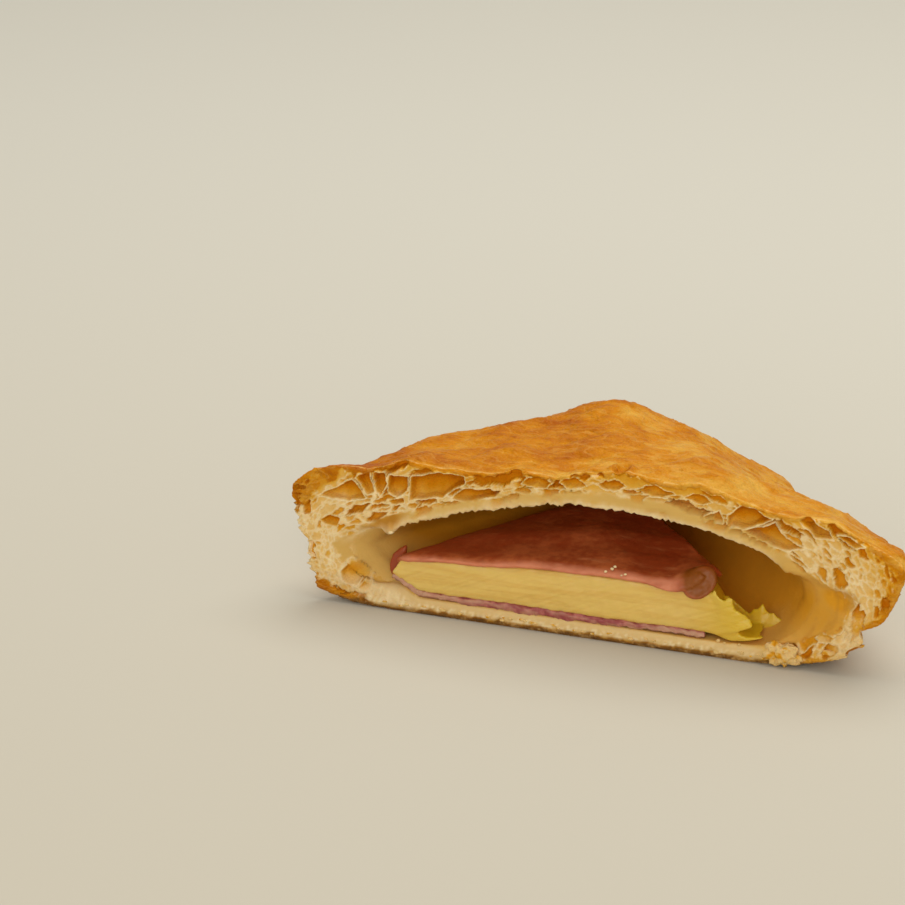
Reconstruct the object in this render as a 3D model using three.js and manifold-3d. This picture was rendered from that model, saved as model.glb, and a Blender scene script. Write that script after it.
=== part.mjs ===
// Half of a square ham and cheese puff pastry, cut from corner to corner.
// Millimetres, +Z up. X runs along the cut and +Y goes from the cut to the far corner.
// The shapes are drawn with the middle of the cut's lower edge at zero, and the group
// then moves them so that the origin is on the flat base, under the filling.
import * as THREE from "three";
import { mergeVertices } from "three/addons/utils/BufferGeometryUtils.js";
import Module from "manifold-3d";

// Driving dimensions of the dough, seen from above
const BASE_POINT_Y = 20; // from the cut to the origin
const LEFT_SIDE = { angle: 135, distance: 45.4 }; // a side's outward direction in degrees, and its distance
const RIGHT_SIDE = { angle: 45, distance: 47.4 };
const RIGHT_END = { angle: 0, distance: 60.5 }; // the blunt corner at the right end of the cut
const CORNER_SHARPNESS = 15;

// Heights of the top crust
const RIM_HEIGHT = 21.6;
const RIM_RISE = 8.4;
const RIM_RISE_LENGTH = { left: 4.2, right: 8.2 };
const SWELLS = [
  { x: -5, y: 32, rise: 6.1, spread: 11 }, // the highest part, behind the cut
  { x: 5, y: 0, rise: 4.2, spread: 22 }, // over the cavity's mouth
  { x: 20, y: 12, rise: 3.2, spread: 10 },
  { x: 30, y: 26, rise: -3.5, spread: 9 },
  { x: 8, y: 52, rise: -5.3, spread: 9 }, // the far corner
  { x: 46, y: 9, rise: 1, spread: 7 },
  { x: -38, y: 16, rise: 3, spread: 10 },
  { x: -50, y: 9, rise: -2.4, spread: 8 },
  { x: -62, y: 1, rise: 2.4, spread: 4 }, // the cut's sharp left corner
];
const CRUST_WAVES = [
  { along: [0.31, 0.12], height: 0.45, start: 0.6 },
  { along: [-0.14, 0.37], height: 0.4, start: 2.1 },
  { along: [0.52, -0.43], height: 0.25, start: 4.0 },
];

// The sides, where two laminated sheets meet at a seam. Heights are shares of the side's height.
const WALL = {
  right: { undercut: 7.2, seam: 3.2, seamAt: 0.22, bulge: 1.4, lift: 5.2, liftReach: 22 },
  far: { undercut: 5, seam: 1.8, seamAt: 0.3, bulge: 0.8, lift: 3, liftReach: 16 },
  left: { undercut: 5.2, seam: 0.9, seamAt: 0.45, bulge: 0.3, lift: 2.5, liftReach: 13 },
};
const SEAM_WIDTH = 0.09;
const LAMINATION = 0.45; // how far the leaves of dough stand in and out

// The hollow over the filling
const CAVITY_X = -4.5;
const CAVITY_SIDES = [
  { angle: 135, distance: 34.6 },
  { angle: 45, distance: 37.6 },
  { angle: 0, distance: 48.5 },
];
const CAVITY_CORNER = 9;
const CAVITY_FLOOR = 3.4;
const CAVITY_TIP = 12.5; // where the roof and the floor meet at the hollow's edge
const CAVITY_PEAK = 28;
const ROOF_SHAPE = {
  right: [2.2, 0.45],
  far: [2.6, 0.5],
  left: [1.4, 0.85],
};

// Bubbles in the dough that the knife opened: place and size on the cut face, tilt in degrees
const LARGE_BUBBLES = [
  { x: -52, z: 23, width: 8.2, height: 4, tilt: 18 },
  { x: -45.8, z: 25.8, width: 5.6, height: 3.6, tilt: 8 },
  { x: -40.4, z: 26.8, width: 4.2, height: 4.4, tilt: 0 },
  { x: -32.8, z: 28, width: 9.6, height: 5, tilt: 6 },
  { x: -23.4, z: 27.3, width: 9, height: 2.8, tilt: 8 },
  { x: -15.4, z: 28.8, width: 4.6, height: 1.6, tilt: 8 },
  { x: -12.6, z: 31.1, width: 6, height: 1.6, tilt: 5 },
  { x: -5.4, z: 31.6, width: 5.4, height: 1.6, tilt: 2 },
  { x: -5.4, z: 29.7, width: 5.6, height: 1.2, tilt: 0 },
  { x: 11, z: 32.4, width: 7.6, height: 2.2, tilt: 0 },
  { x: 19.6, z: 32.2, width: 5.4, height: 2, tilt: -4 },
  { x: 21.8, z: 29, width: 4.6, height: 2.6, tilt: -8 },
  { x: 28.2, z: 29, width: 6.2, height: 4.2, tilt: -8 },
  { x: 34.6, z: 25.6, width: 10.4, height: 3.8, tilt: -22 },
  { x: 41, z: 28.2, width: 7.2, height: 4.8, tilt: -35 },
  { x: 48.4, z: 25.4, width: 5.4, height: 2.6, tilt: -34 },
  { x: 51.4, z: 15.9, width: 5.6, height: 3.8, tilt: -8 },
  { x: -56, z: 17.4, width: 4, height: 3.4, tilt: 10 },
  { x: -51.6, z: 6.8, width: 4.8, height: 4, tilt: -12 },
  { x: 46.8, z: 7.6, width: 3.6, height: 2, tilt: 12 },
];
const SMALL_BUBBLES = { count: 26, width: [1.6, 3.4], flatness: 0.55, seed: 7 };
const BUBBLE_DEPTH = 0.75; // of a bubble's width, into the dough
const CRUST_THICKNESS = 0.9;
const LINING_THICKNESS = 2.4; // the close dough round the hollow

// The filling, a square slice of each cut through the same corners
const GAP = 0.3; // between pieces that lie on each other
const HAM_LEFT = -44;
const HAM_RIGHT = 23;
const HAM_CORNER = { x: -4, y: 38 };
const HAM_THICKNESS = 1.5;
const LOWER_HAM_THICKNESS = 1;
const HAM_DROOP = { start: 17, drop: 3.2 };
const CHEESE_LEFT = -41.5;
const CHEESE_RIGHT = 33;
const CHEESE_CORNER = { x: -3, y: 36 };
const CHEESE_TOP = { left: 11.2, slope: 0.031, swell: 2.2, swellY: 20, spread: 15 };
const CHEESE_MELT = { start: 21, end: 31, height: 6.4, tooth: 0.9 };

const wasm = await Module();
wasm.setup();

const radians = THREE.MathUtils.degToRad;
const lerp = THREE.MathUtils.lerp;
const clamp = THREE.MathUtils.clamp;
const smooth = THREE.MathUtils.smoothstep;

// A small seeded random source, so that every build is the same.
function randomSource(seed) {
  let state = seed;
  return () => {
    state = (state + 0x6d2b79f5) | 0;
    let t = Math.imul(state ^ (state >>> 15), 1 | state);
    t = (t + Math.imul(t ^ (t >>> 7), 61 | t)) ^ t;
    return ((t ^ (t >>> 14)) >>> 0) / 4294967296;
  };
}

// How far an outline with straight sides and softened corners reaches in a direction.
function reach(theta, sides, sharpness) {
  let sum = 0;
  for (const { angle, distance } of sides) {
    const facing = Math.max(0, Math.cos(theta - radians(angle)));
    sum += (facing / distance) ** sharpness;
  }
  return sum ** (-1 / sharpness);
}

// A value that goes from the cut's right end, by the far corner, to its left end.
function around(theta, right, far, left) {
  const t = theta / Math.PI;
  return right * (1 - t) * (1 - 2 * t) + far * 4 * t * (1 - t) + left * t * (2 * t - 1);
}

const aroundKey = (theta, table, key) => around(theta, table.right[key], table.far[key], table.left[key]);

function outlineReach(theta) {
  return reach(theta, [LEFT_SIDE, RIGHT_SIDE, RIGHT_END], CORNER_SHARPNESS);
}

// The height of the top crust over a point of the plan.
function crown(x, y) {
  const fromLeft = Math.max(0, LEFT_SIDE.distance + 0.3 + (x - y) * Math.SQRT1_2);
  const fromRight = Math.max(
    0,
    Math.min(RIGHT_SIDE.distance + 0.3 - (x + y) * Math.SQRT1_2, RIGHT_END.distance + 0.5 - x),
  );
  const left = 1 - Math.exp(-fromLeft / RIM_RISE_LENGTH.left);
  const right = 1 - Math.exp(-fromRight / RIM_RISE_LENGTH.right);
  let z = RIM_HEIGHT + RIM_RISE * left * right;
  for (const swell of SWELLS) {
    const d2 = (x - swell.x) ** 2 + (y - swell.y) ** 2;
    z += swell.rise * Math.exp(-d2 / (2 * swell.spread ** 2));
  }
  for (const wave of CRUST_WAVES) {
    z += wave.height * Math.sin(wave.along[0] * x + wave.along[1] * y + wave.start);
  }
  return z;
}

// How far the side stands out from the plan's outline, at a share of its height.
function wallOffset(theta, h) {
  const undercut = aroundKey(theta, WALL, "undercut") * (1 - h) ** 1.2;
  const fromSeam = (h - aroundKey(theta, WALL, "seamAt")) / SEAM_WIDTH;
  const seam = aroundKey(theta, WALL, "seam") * Math.exp(-fromSeam * fromSeam);
  const bulge = aroundKey(theta, WALL, "bulge") * Math.sin(Math.PI * h) * h;
  return bulge - undercut - seam;
}

// The underside: flat in the middle, lifting towards its edge.
function underside(theta, r, edge) {
  const reachIn = aroundKey(theta, WALL, "liftReach");
  const share = clamp((r - edge + reachIn) / reachIn, 0, 1);
  return aroundKey(theta, WALL, "lift") * share * share;
}

const TOP_ROWS = 15;
const WALL_ROWS = 15;
const BASE_ROWS = 8;

// A point of the dough's outer skin. Rows go from the middle of the top, down the side, to the middle below.
function skinPoint(theta, row) {
  const folded = theta > Math.PI ? 2 * Math.PI - theta : theta;
  const rim = outlineReach(folded);
  const foot = rim + wallOffset(folded, 0);
  const ux = Math.cos(folded);
  const uy = Math.sin(folded);
  let r;
  let z;
  if (row <= TOP_ROWS) {
    r = rim * Math.sin((row / TOP_ROWS) * (Math.PI / 2)) ** 0.9;
    z = crown(r * ux, r * uy);
  } else if (row < TOP_ROWS + WALL_ROWS) {
    const h = 1 - (row - TOP_ROWS) / WALL_ROWS;
    const leaf = row % 2 ? 1 : -1;
    const uneven = 0.6 + 0.4 * Math.sin(folded * 19 + row * 2.3);
    r = rim + wallOffset(folded, h) + leaf * uneven * LAMINATION;
    z = lerp(underside(folded, foot, foot), crown(rim * ux, rim * uy), h);
  } else {
    r = foot * Math.cos(((row - TOP_ROWS - WALL_ROWS) / BASE_ROWS) * (Math.PI / 2));
    z = underside(folded, r, foot);
  }
  return new THREE.Vector3(r * ux, r * uy * (theta > Math.PI ? -1 : 1), z);
}

// The hollow's floor and roof over a direction and a share of the way to its edge.
function cavityFloor(q) {
  return CAVITY_FLOOR + (CAVITY_TIP - CAVITY_FLOOR) * q ** 13;
}

function cavityRoof(theta, q) {
  const inner = around(theta, ROOF_SHAPE.right[0], ROOF_SHAPE.far[0], ROOF_SHAPE.left[0]);
  const outer = around(theta, ROOF_SHAPE.right[1], ROOF_SHAPE.far[1], ROOF_SHAPE.left[1]);
  return CAVITY_TIP + (CAVITY_PEAK - CAVITY_TIP) * (1 - q ** inner) ** outer;
}

const ROOF_ROWS = 14;
const FLOOR_ROWS = 14;

function cavityPoint(theta, row) {
  const folded = theta > Math.PI ? 2 * Math.PI - theta : theta;
  const edge = reach(folded, CAVITY_SIDES, CAVITY_CORNER);
  const share =
    row <= ROOF_ROWS
      ? Math.sin((row / ROOF_ROWS) * (Math.PI / 2))
      : Math.cos(((row - ROOF_ROWS) / FLOOR_ROWS) * (Math.PI / 2));
  const z = row <= ROOF_ROWS ? cavityRoof(folded, share) : cavityFloor(share);
  const r = edge * share;
  return new THREE.Vector3(
    CAVITY_X + r * Math.cos(folded),
    r * Math.sin(folded) * (theta > Math.PI ? -1 : 1),
    z,
  );
}

// The floor's height at a point of the plan, which the filling follows.
function floorAt(x, y) {
  const theta = Math.atan2(Math.max(y, 0), x - CAVITY_X);
  const edge = reach(theta, CAVITY_SIDES, CAVITY_CORNER);
  return cavityFloor(clamp((1.02 * Math.hypot(x - CAVITY_X, y)) / edge, 0, 1));
}

// A closed skin: a sphere whose rows and columns are moved to place(theta, row).
function shapedSphere(columns, rows, place) {
  const geometry = new THREE.SphereGeometry(1, columns, rows);
  const position = geometry.getAttribute("position");
  for (let row = 0, i = 0; row <= rows; row++) {
    for (let column = 0; column <= columns; column++, i++) {
      const turn = ((column % columns) + 0.5) / columns + 0.5;
      const point = place(2 * Math.PI * (turn % 1), row);
      position.setXYZ(i, point.x, point.y, point.z);
    }
  }
  return geometry;
}

// A slab: a box whose corners run from 0 to 1 and are moved to place(u, v, w).
function shapedSlab(across, deep, high, place) {
  const geometry = new THREE.BoxGeometry(1, 1, 1, across, deep, high);
  const position = geometry.getAttribute("position");
  for (let i = 0; i < position.count; i++) {
    const point = place(position.getX(i) + 0.5, position.getY(i) + 0.5, position.getZ(i) + 0.5);
    position.setXYZ(i, point.x, point.y, point.z);
  }
  return geometry;
}

function solidOf(geometry) {
  const bare = geometry.clone();
  bare.deleteAttribute("normal");
  bare.deleteAttribute("uv");
  const merged = mergeVertices(bare, 1e-4);
  return new wasm.Manifold(
    new wasm.Mesh({
      numProp: 3,
      vertProperties: merged.getAttribute("position").array,
      triVerts: new Uint32Array(merged.index.array),
    }),
  );
}

function geometryOf(solid) {
  const mesh = solid.getMesh();
  const geometry = new THREE.BufferGeometry();
  geometry.setAttribute("position", new THREE.BufferAttribute(mesh.vertProperties.slice(), 3));
  geometry.setIndex(new THREE.BufferAttribute(mesh.triVerts.slice(), 1));
  geometry.computeVertexNormals();
  return geometry;
}

// The block that the knife takes away, all in front of the cut.
function frontBlock() {
  const size = 200;
  return solidOf(new THREE.BoxGeometry(size, size, size).translate(0, -size / 2, 0));
}

// The lower and upper edges of the dough over the hollow, on the cut face.
function crumbBand(x) {
  const theta = x < CAVITY_X ? Math.PI : 0;
  const q = Math.abs(x - CAVITY_X) / reach(theta, CAVITY_SIDES, CAVITY_CORNER);
  const inside = q < 1;
  return {
    low: inside ? cavityRoof(theta, q) + LINING_THICKNESS : underside(theta, 0, 1) + 4,
    high: crown(x, 0) - CRUST_THICKNESS,
  };
}

// True where a bubble would run into another one, with a skin between them.
function meets(bubble, others) {
  return others.some((other) => {
    const dx = (bubble.x - other.x) / (0.5 * (bubble.width + other.width) + 0.5);
    const dz = (bubble.z - other.z) / (0.5 * (bubble.height + other.height) + 0.5);
    return dx * dx + dz * dz < 1;
  });
}

// Fills the dough between the large bubbles with small ones.
function smallBubbles() {
  const random = randomSource(SMALL_BUBBLES.seed);
  const made = [];
  for (let tries = 0; made.length < SMALL_BUBBLES.count && tries < 4000; tries++) {
    const x = lerp(-60, 56, random());
    const width = lerp(SMALL_BUBBLES.width[0], SMALL_BUBBLES.width[1], random());
    const height = width * SMALL_BUBBLES.flatness;
    const band = crumbBand(x);
    const z = lerp(band.low, band.high, random());
    const slope = (crown(x + 2, 0) - crown(x - 2, 0)) / 4;
    const bubble = { x, z, width, height, tilt: THREE.MathUtils.radToDeg(Math.atan(slope)) };
    const fits = z - height / 2 > band.low && z + height / 2 < band.high - 0.4;
    if (fits && !meets(bubble, LARGE_BUBBLES) && !meets(bubble, made)) made.push(bubble);
  }
  return made;
}

function bubbleSolid({ x, z, width, height, tilt }, detail) {
  const geometry = new THREE.IcosahedronGeometry(1, detail);
  geometry.scale(width / 2, width * BUBBLE_DEPTH, height / 2);
  geometry.rotateY(-radians(tilt));
  geometry.translate(x, 0, z);
  return solidOf(geometry);
}

function pastryGeometry() {
  const rows = TOP_ROWS + WALL_ROWS + BASE_ROWS;
  let dough = solidOf(shapedSphere(96, rows, skinPoint));
  dough = dough.subtract(solidOf(shapedSphere(72, ROOF_ROWS + FLOOR_ROWS, cavityPoint)));
  for (const bubble of LARGE_BUBBLES) dough = dough.subtract(bubbleSolid(bubble, bubble.width > 5 ? 2 : 1));
  for (const bubble of smallBubbles()) dough = dough.subtract(bubbleSolid(bubble, 1));
  return geometryOf(dough.subtract(frontBlock()));
}

// A slice's plan: its cut edge lies along the cut, and it narrows to its own corner.
function slicePoint(u, v, left, right, corner) {
  const narrow = 0.035;
  const share = v * (1 - narrow);
  return {
    x: lerp(lerp(left, corner.x, share), lerp(right, corner.x, share), u),
    y: GAP + (corner.y - GAP) * v,
  };
}

function cheeseTop(x, y) {
  const d2 = (x + 8) ** 2 + (y - CHEESE_TOP.swellY) ** 2;
  const swell = CHEESE_TOP.swell * Math.exp(-d2 / (2 * CHEESE_TOP.spread ** 2));
  return CHEESE_TOP.left + CHEESE_TOP.slope * (x - HAM_LEFT) + swell;
}

// The cheese's upper side, with the ragged melt at its right end.
function meltedTop(x, y) {
  const melted = smooth(x + 0.35 * y, CHEESE_MELT.start, CHEESE_MELT.end);
  const teeth = CHEESE_MELT.tooth * Math.sin(x * 1.9 + y * 0.8) * melted;
  return cheeseTop(x, y) - CHEESE_MELT.height * melted + teeth;
}

function lowerHamGeometry() {
  return shapedSlab(16, 8, 1, (u, v, w) => {
    const { x, y } = slicePoint(u, v, HAM_LEFT + 3, HAM_RIGHT - 1, HAM_CORNER);
    const bed = floorAt(x, y) + GAP;
    return new THREE.Vector3(x, y, lerp(bed, bed + LOWER_HAM_THICKNESS, w));
  });
}

function cheeseGeometry() {
  return shapedSlab(32, 10, 2, (u, v, w) => {
    const { x, y } = slicePoint(u, v, CHEESE_LEFT, CHEESE_RIGHT, CHEESE_CORNER);
    const overHam = 1 - smooth(x, HAM_RIGHT, HAM_RIGHT + 3);
    const low = floorAt(x, y) + GAP + overHam * (LOWER_HAM_THICKNESS + GAP);
    return new THREE.Vector3(x, y, lerp(low, Math.max(meltedTop(x, y), low + 0.8), w));
  });
}

function upperHamGeometry() {
  return shapedSlab(26, 12, 1, (u, v, w) => {
    const { x, y } = slicePoint(u, v, HAM_LEFT, HAM_RIGHT, HAM_CORNER);
    const droop = HAM_DROOP.drop * smooth(x + 0.5 * y, HAM_DROOP.start, HAM_RIGHT + 3) ** 2;
    const ripple = 0.25 * (1 + Math.sin(0.35 * x + 0.2 * y));
    const low = Math.max(cheeseTop(x, y) - droop, meltedTop(x, y)) + GAP + ripple;
    return new THREE.Vector3(x, y, lerp(low, low + HAM_THICKNESS, w));
  });
}

function pieceMesh(name, geometry, color, roughness) {
  const mesh = new THREE.Mesh(geometry, new THREE.MeshStandardMaterial({ color, roughness, metalness: 0 }));
  mesh.name = name;
  return mesh;
}

const half = new THREE.Group();
half.add(
  pieceMesh("pastry", pastryGeometry(), "#cf9440", 0.5),
  pieceMesh("lower_ham", lowerHamGeometry(), "#b97a74", 0.45),
  pieceMesh("cheese", cheeseGeometry(), "#dcc35c", 0.4),
  pieceMesh("upper_ham", upperHamGeometry(), "#b96a58", 0.4),
);
half.position.y = -BASE_POINT_Y;

const part = new THREE.Group();
part.add(half);

export default part;
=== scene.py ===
"""Half of a square ham and cheese puff pastry, finished over its CAD frame.

Lengths in the classes are millimetres and are named for what they measure. The pastry's own places
have X along the cut, Y from the cut towards the far corner and Z up, as in the part's source. Meshes
are handed to Blender in metres, in the frame's coordinates.
"""

import logging
import math
from collections.abc import Callable
from dataclasses import dataclass, field
from enum import Enum

import bpy
import numpy as np
from mathutils import Matrix, Vector


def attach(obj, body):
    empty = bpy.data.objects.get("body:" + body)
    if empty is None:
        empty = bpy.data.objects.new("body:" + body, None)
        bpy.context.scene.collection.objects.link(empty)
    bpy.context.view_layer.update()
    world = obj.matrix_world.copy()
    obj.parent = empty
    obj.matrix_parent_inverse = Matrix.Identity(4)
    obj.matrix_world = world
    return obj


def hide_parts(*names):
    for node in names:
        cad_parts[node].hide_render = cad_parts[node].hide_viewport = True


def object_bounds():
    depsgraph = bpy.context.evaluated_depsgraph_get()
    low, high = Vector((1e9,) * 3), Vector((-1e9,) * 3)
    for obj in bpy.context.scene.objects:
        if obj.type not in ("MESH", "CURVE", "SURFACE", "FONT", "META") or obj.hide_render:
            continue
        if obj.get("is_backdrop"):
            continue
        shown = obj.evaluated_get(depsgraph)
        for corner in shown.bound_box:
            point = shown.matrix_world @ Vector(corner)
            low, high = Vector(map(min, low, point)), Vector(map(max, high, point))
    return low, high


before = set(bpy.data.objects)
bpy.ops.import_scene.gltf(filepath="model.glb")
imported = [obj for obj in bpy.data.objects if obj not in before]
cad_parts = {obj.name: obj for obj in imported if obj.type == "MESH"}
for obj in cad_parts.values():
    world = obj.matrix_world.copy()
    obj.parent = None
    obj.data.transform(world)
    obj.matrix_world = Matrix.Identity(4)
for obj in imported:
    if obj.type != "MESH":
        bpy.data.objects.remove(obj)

LOG = logging.getLogger("pastry")
MM = 0.001
BASE_POINT_Y = 20.0
BODY = "root"
Array = np.ndarray
Colour = tuple[float, float, float]


class Flank(Enum):
    """The outward direction of each straight side of the pastry's plan, in degrees."""

    LEFT = 135.0
    RIGHT = 45.0
    RIGHT_END = 0.0


class Mask(Enum):
    """The point attributes that the dough's material reads."""

    CRUST = "crust"
    # How brown the crust is, and paler where a painted sheen lies.
    BROWNING = "browning_and_sheen"
    TONE = "tone"
    LINING = "lining"
    TORN = "torn"
    HOLLOW = "hollow"
    UNDER = "under"


def smooth(value: Array, low: float, high: float) -> Array:
    """Goes smoothly from 0 at low to 1 at high.

    Args:
        value: What is compared.
        low: Where the result is 0.
        high: Where the result is 1.

    Returns:
        The smooth step, of the same shape as value.
    """
    t = np.clip((value - low) / (high - low), 0.0, 1.0)
    return t * t * (3.0 - 2.0 * t)


def bump(value: Array, centre: float, width: float) -> Array:
    """A bell of height 1 at centre, with the given width to one standard deviation."""
    return np.exp(-(((value - centre) / width) ** 2) / 2.0)


@dataclass(frozen=True)
class Noise:
    """Smooth seeded noise on points, from about -1 to 1.

    Attributes:
        seed: Makes one pattern different from another.
    """

    seed: int

    def _tables(self) -> tuple[Array, Array]:
        """Returns the shuffled corner numbers and the corner slopes."""
        random = np.random.default_rng(self.seed)
        order = random.permutation(256)
        slopes = random.normal(size=(256, 3))
        return order, slopes / np.linalg.norm(slopes, axis=1)[:, None]

    def once(self, points: Array) -> Array:
        """Reads one layer of noise whose features are about 1 across.

        Args:
            points: Places, as (n, 3).

        Returns:
            One value for each place.
        """
        order, slopes = self._tables()
        corner = np.floor(points).astype(int)
        inside = points - corner
        fade = inside**3 * (inside * (inside * 6.0 - 15.0) + 10.0)
        total = np.zeros(len(points))
        for step in np.ndindex(2, 2, 2):
            at = (corner + step) & 255
            slope = slopes[order[(order[(order[at[:, 0]] + at[:, 1]) & 255] + at[:, 2]) & 255]]
            share = np.prod(np.where(np.array(step) == 1, fade, 1.0 - fade), axis=1)
            total += share * np.einsum("ij,ij->i", inside - step, slope)
        return total * 1.7

    def layers(self, points: Array, size: float | Array, octaves: int = 3) -> Array:
        """Adds finer layers of noise to a coarse one.

        Args:
            points: Places in millimetres, as (n, 3).
            size: How large the coarsest features are, or their size along each axis.
            octaves: How many layers there are, each twice as fine and half as strong.

        Returns:
            One value for each place.
        """
        total = np.zeros(len(points))
        for k in range(octaves):
            total += Noise(self.seed + k).once(points * 2.0**k / np.asarray(size)) / 2.0**k
        return total

    def ridges(self, points: Array, size: float | Array, octaves: int = 2) -> Array:
        """Noise with sharp crests, from 0 in the hollows to 1 on the crests."""
        total = np.zeros(len(points))
        weight = 0.0
        for k in range(octaves):
            layer = Noise(self.seed + k).once(points * 2.0**k / np.asarray(size))
            total += (1.0 - np.minimum(np.abs(layer) * 1.6, 1.0)) / 2.0**k
            weight += 0.5**k
        return total / weight


def reach(theta: Array, sides: dict[Flank, float], sharpness: float) -> Array:
    """How far an outline with straight sides and softened corners reaches in each direction.

    Args:
        theta: Directions in radians.
        sides: The distance of each side from the middle.
        sharpness: How tight the corners are.

    Returns:
        The reach in each direction.
    """
    total = np.zeros_like(theta)
    for side, distance in sides.items():
        total += (np.maximum(0.0, np.cos(theta - math.radians(side.value))) / distance) ** sharpness
    return total ** (-1.0 / sharpness)


@dataclass(frozen=True)
class Turn:
    """A value that changes from the cut's right end, by the far corner, to its left end."""

    right: float
    far: float
    left: float

    def at(self, theta: Array) -> Array:
        """Returns the value in each direction, given in radians."""
        t = theta / math.pi
        ends = self.right * (1 - t) * (1 - 2 * t) + self.left * t * (2 * t - 1)
        return ends + self.far * 4 * t * (1 - t)


@dataclass(frozen=True)
class Swell:
    """A round rise or dip of the top crust, in millimetres."""

    x: float
    y: float
    rise: float
    spread: float


@dataclass(frozen=True)
class Outside:
    """The dough's outer form: plan, top crust, sides and underside."""

    sides: dict[Flank, float] = field(
        default_factory=lambda: {Flank.LEFT: 45.4, Flank.RIGHT: 47.4, Flank.RIGHT_END: 60.5}
    )
    corner_sharpness: float = 15.0
    rim_height: float = 21.6
    rim_rise: float = 8.4
    rise_length_left: float = 4.2
    rise_length_right: float = 8.2
    undercut: Turn = Turn(7.2, 5.0, 5.2)
    seam: Turn = Turn(3.2, 1.8, 0.9)
    seam_at: Turn = Turn(0.22, 0.3, 0.45)
    seam_width: float = 0.09
    bulge: Turn = Turn(1.4, 0.8, 0.3)
    lift: Turn = Turn(5.2, 3.0, 2.5)
    lift_reach: Turn = Turn(22.0, 16.0, 13.0)
    swells: tuple[Swell, ...] = (
        Swell(-5, 32, 6.1, 11),
        Swell(5, 0, 4.2, 22),
        Swell(20, 12, 3.2, 10),
        Swell(30, 26, -3.5, 9),
        Swell(8, 52, -5.3, 9),
        Swell(46, 9, 1.0, 7),
        Swell(-38, 16, 3.0, 10),
        Swell(-50, 9, -2.4, 8),
        Swell(-62, 1, 2.4, 4),
    )
    waves: tuple[tuple[float, float, float, float], ...] = (
        (0.31, 0.12, 0.45, 0.6),
        (-0.14, 0.37, 0.4, 2.1),
        (0.52, -0.43, 0.25, 4.0),
    )
    top_share: float = 15 / 38
    wall_share: float = 15 / 38

    def rim(self, theta: Array) -> Array:
        """Returns the plan's reach in each direction."""
        return reach(theta, self.sides, self.corner_sharpness)

    def crown(self, x: Array, y: Array) -> Array:
        """Returns the top crust's height over each point of the plan."""
        left = np.maximum(0.0, self.sides[Flank.LEFT] + 0.3 + (x - y) * math.sqrt(0.5))
        slanted = self.sides[Flank.RIGHT] + 0.3 - (x + y) * math.sqrt(0.5)
        right = np.maximum(0.0, np.minimum(slanted, self.sides[Flank.RIGHT_END] + 0.5 - x))
        z = self.rim_height + self.rim_rise * (1 - np.exp(-left / self.rise_length_left)) * (
            1 - np.exp(-right / self.rise_length_right)
        )
        for s in self.swells:
            z = z + s.rise * np.exp(-((x - s.x) ** 2 + (y - s.y) ** 2) / (2 * s.spread**2))
        for kx, ky, height, start in self.waves:
            z = z + height * np.sin(kx * x + ky * y + start)
        return z

    def wall_offset(self, theta: Array, h: Array) -> Array:
        """Returns how far the side stands out from the plan at a share h of its height."""
        seam = self.seam.at(theta) * np.exp(-(((h - self.seam_at.at(theta)) / self.seam_width) ** 2))
        bulge = self.bulge.at(theta) * np.sin(np.pi * h) * h
        return bulge - self.undercut.at(theta) * (1 - h) ** 1.2 - seam

    def under(self, theta: Array, r: Array, edge: Array) -> Array:
        """Returns the height of the underside, which lifts towards its edge."""
        reach_in = self.lift_reach.at(theta)
        share = np.clip((r - edge + reach_in) / reach_in, 0.0, 1.0)
        return self.lift.at(theta) * share**2

    def skin(self, theta: Array, t: Array) -> Array:
        """Places the points of the outer skin.

        Args:
            theta: Directions in radians, from -pi to pi. Those in front of the cut mirror those behind.
            t: From 0 at the middle of the top, over the rim and down the side, to 1 below.

        Returns:
            The places in millimetres, as (n, 3).
        """
        way = np.abs(theta)
        rim = self.rim(way)
        foot = rim + self.wall_offset(way, np.zeros_like(way))
        ux, uy = np.cos(way), np.sin(way)
        on_top = np.clip(t / self.top_share, 0, 1)
        top_r = rim * np.sin(on_top * np.pi / 2) ** 0.9
        h = 1 - np.clip((t - self.top_share) / self.wall_share, 0, 1)
        rim_z = self.crown(rim * ux, rim * uy)
        foot_z = self.under(way, foot, foot)
        below = np.clip((t - self.top_share - self.wall_share) / (1 - self.top_share - self.wall_share), 0, 1)
        low_r = foot * np.cos(below * np.pi / 2)
        is_top, is_low = t <= self.top_share, t > self.top_share + self.wall_share
        r = np.where(is_top, top_r, np.where(is_low, low_r, rim + self.wall_offset(way, h)))
        z = np.where(
            is_top,
            self.crown(top_r * ux, top_r * uy),
            np.where(is_low, self.under(way, low_r, foot), foot_z + (rim_z - foot_z) * h),
        )
        return np.stack([r * ux, r * uy * np.where(theta < 0, -1, 1), z], -1)


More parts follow.
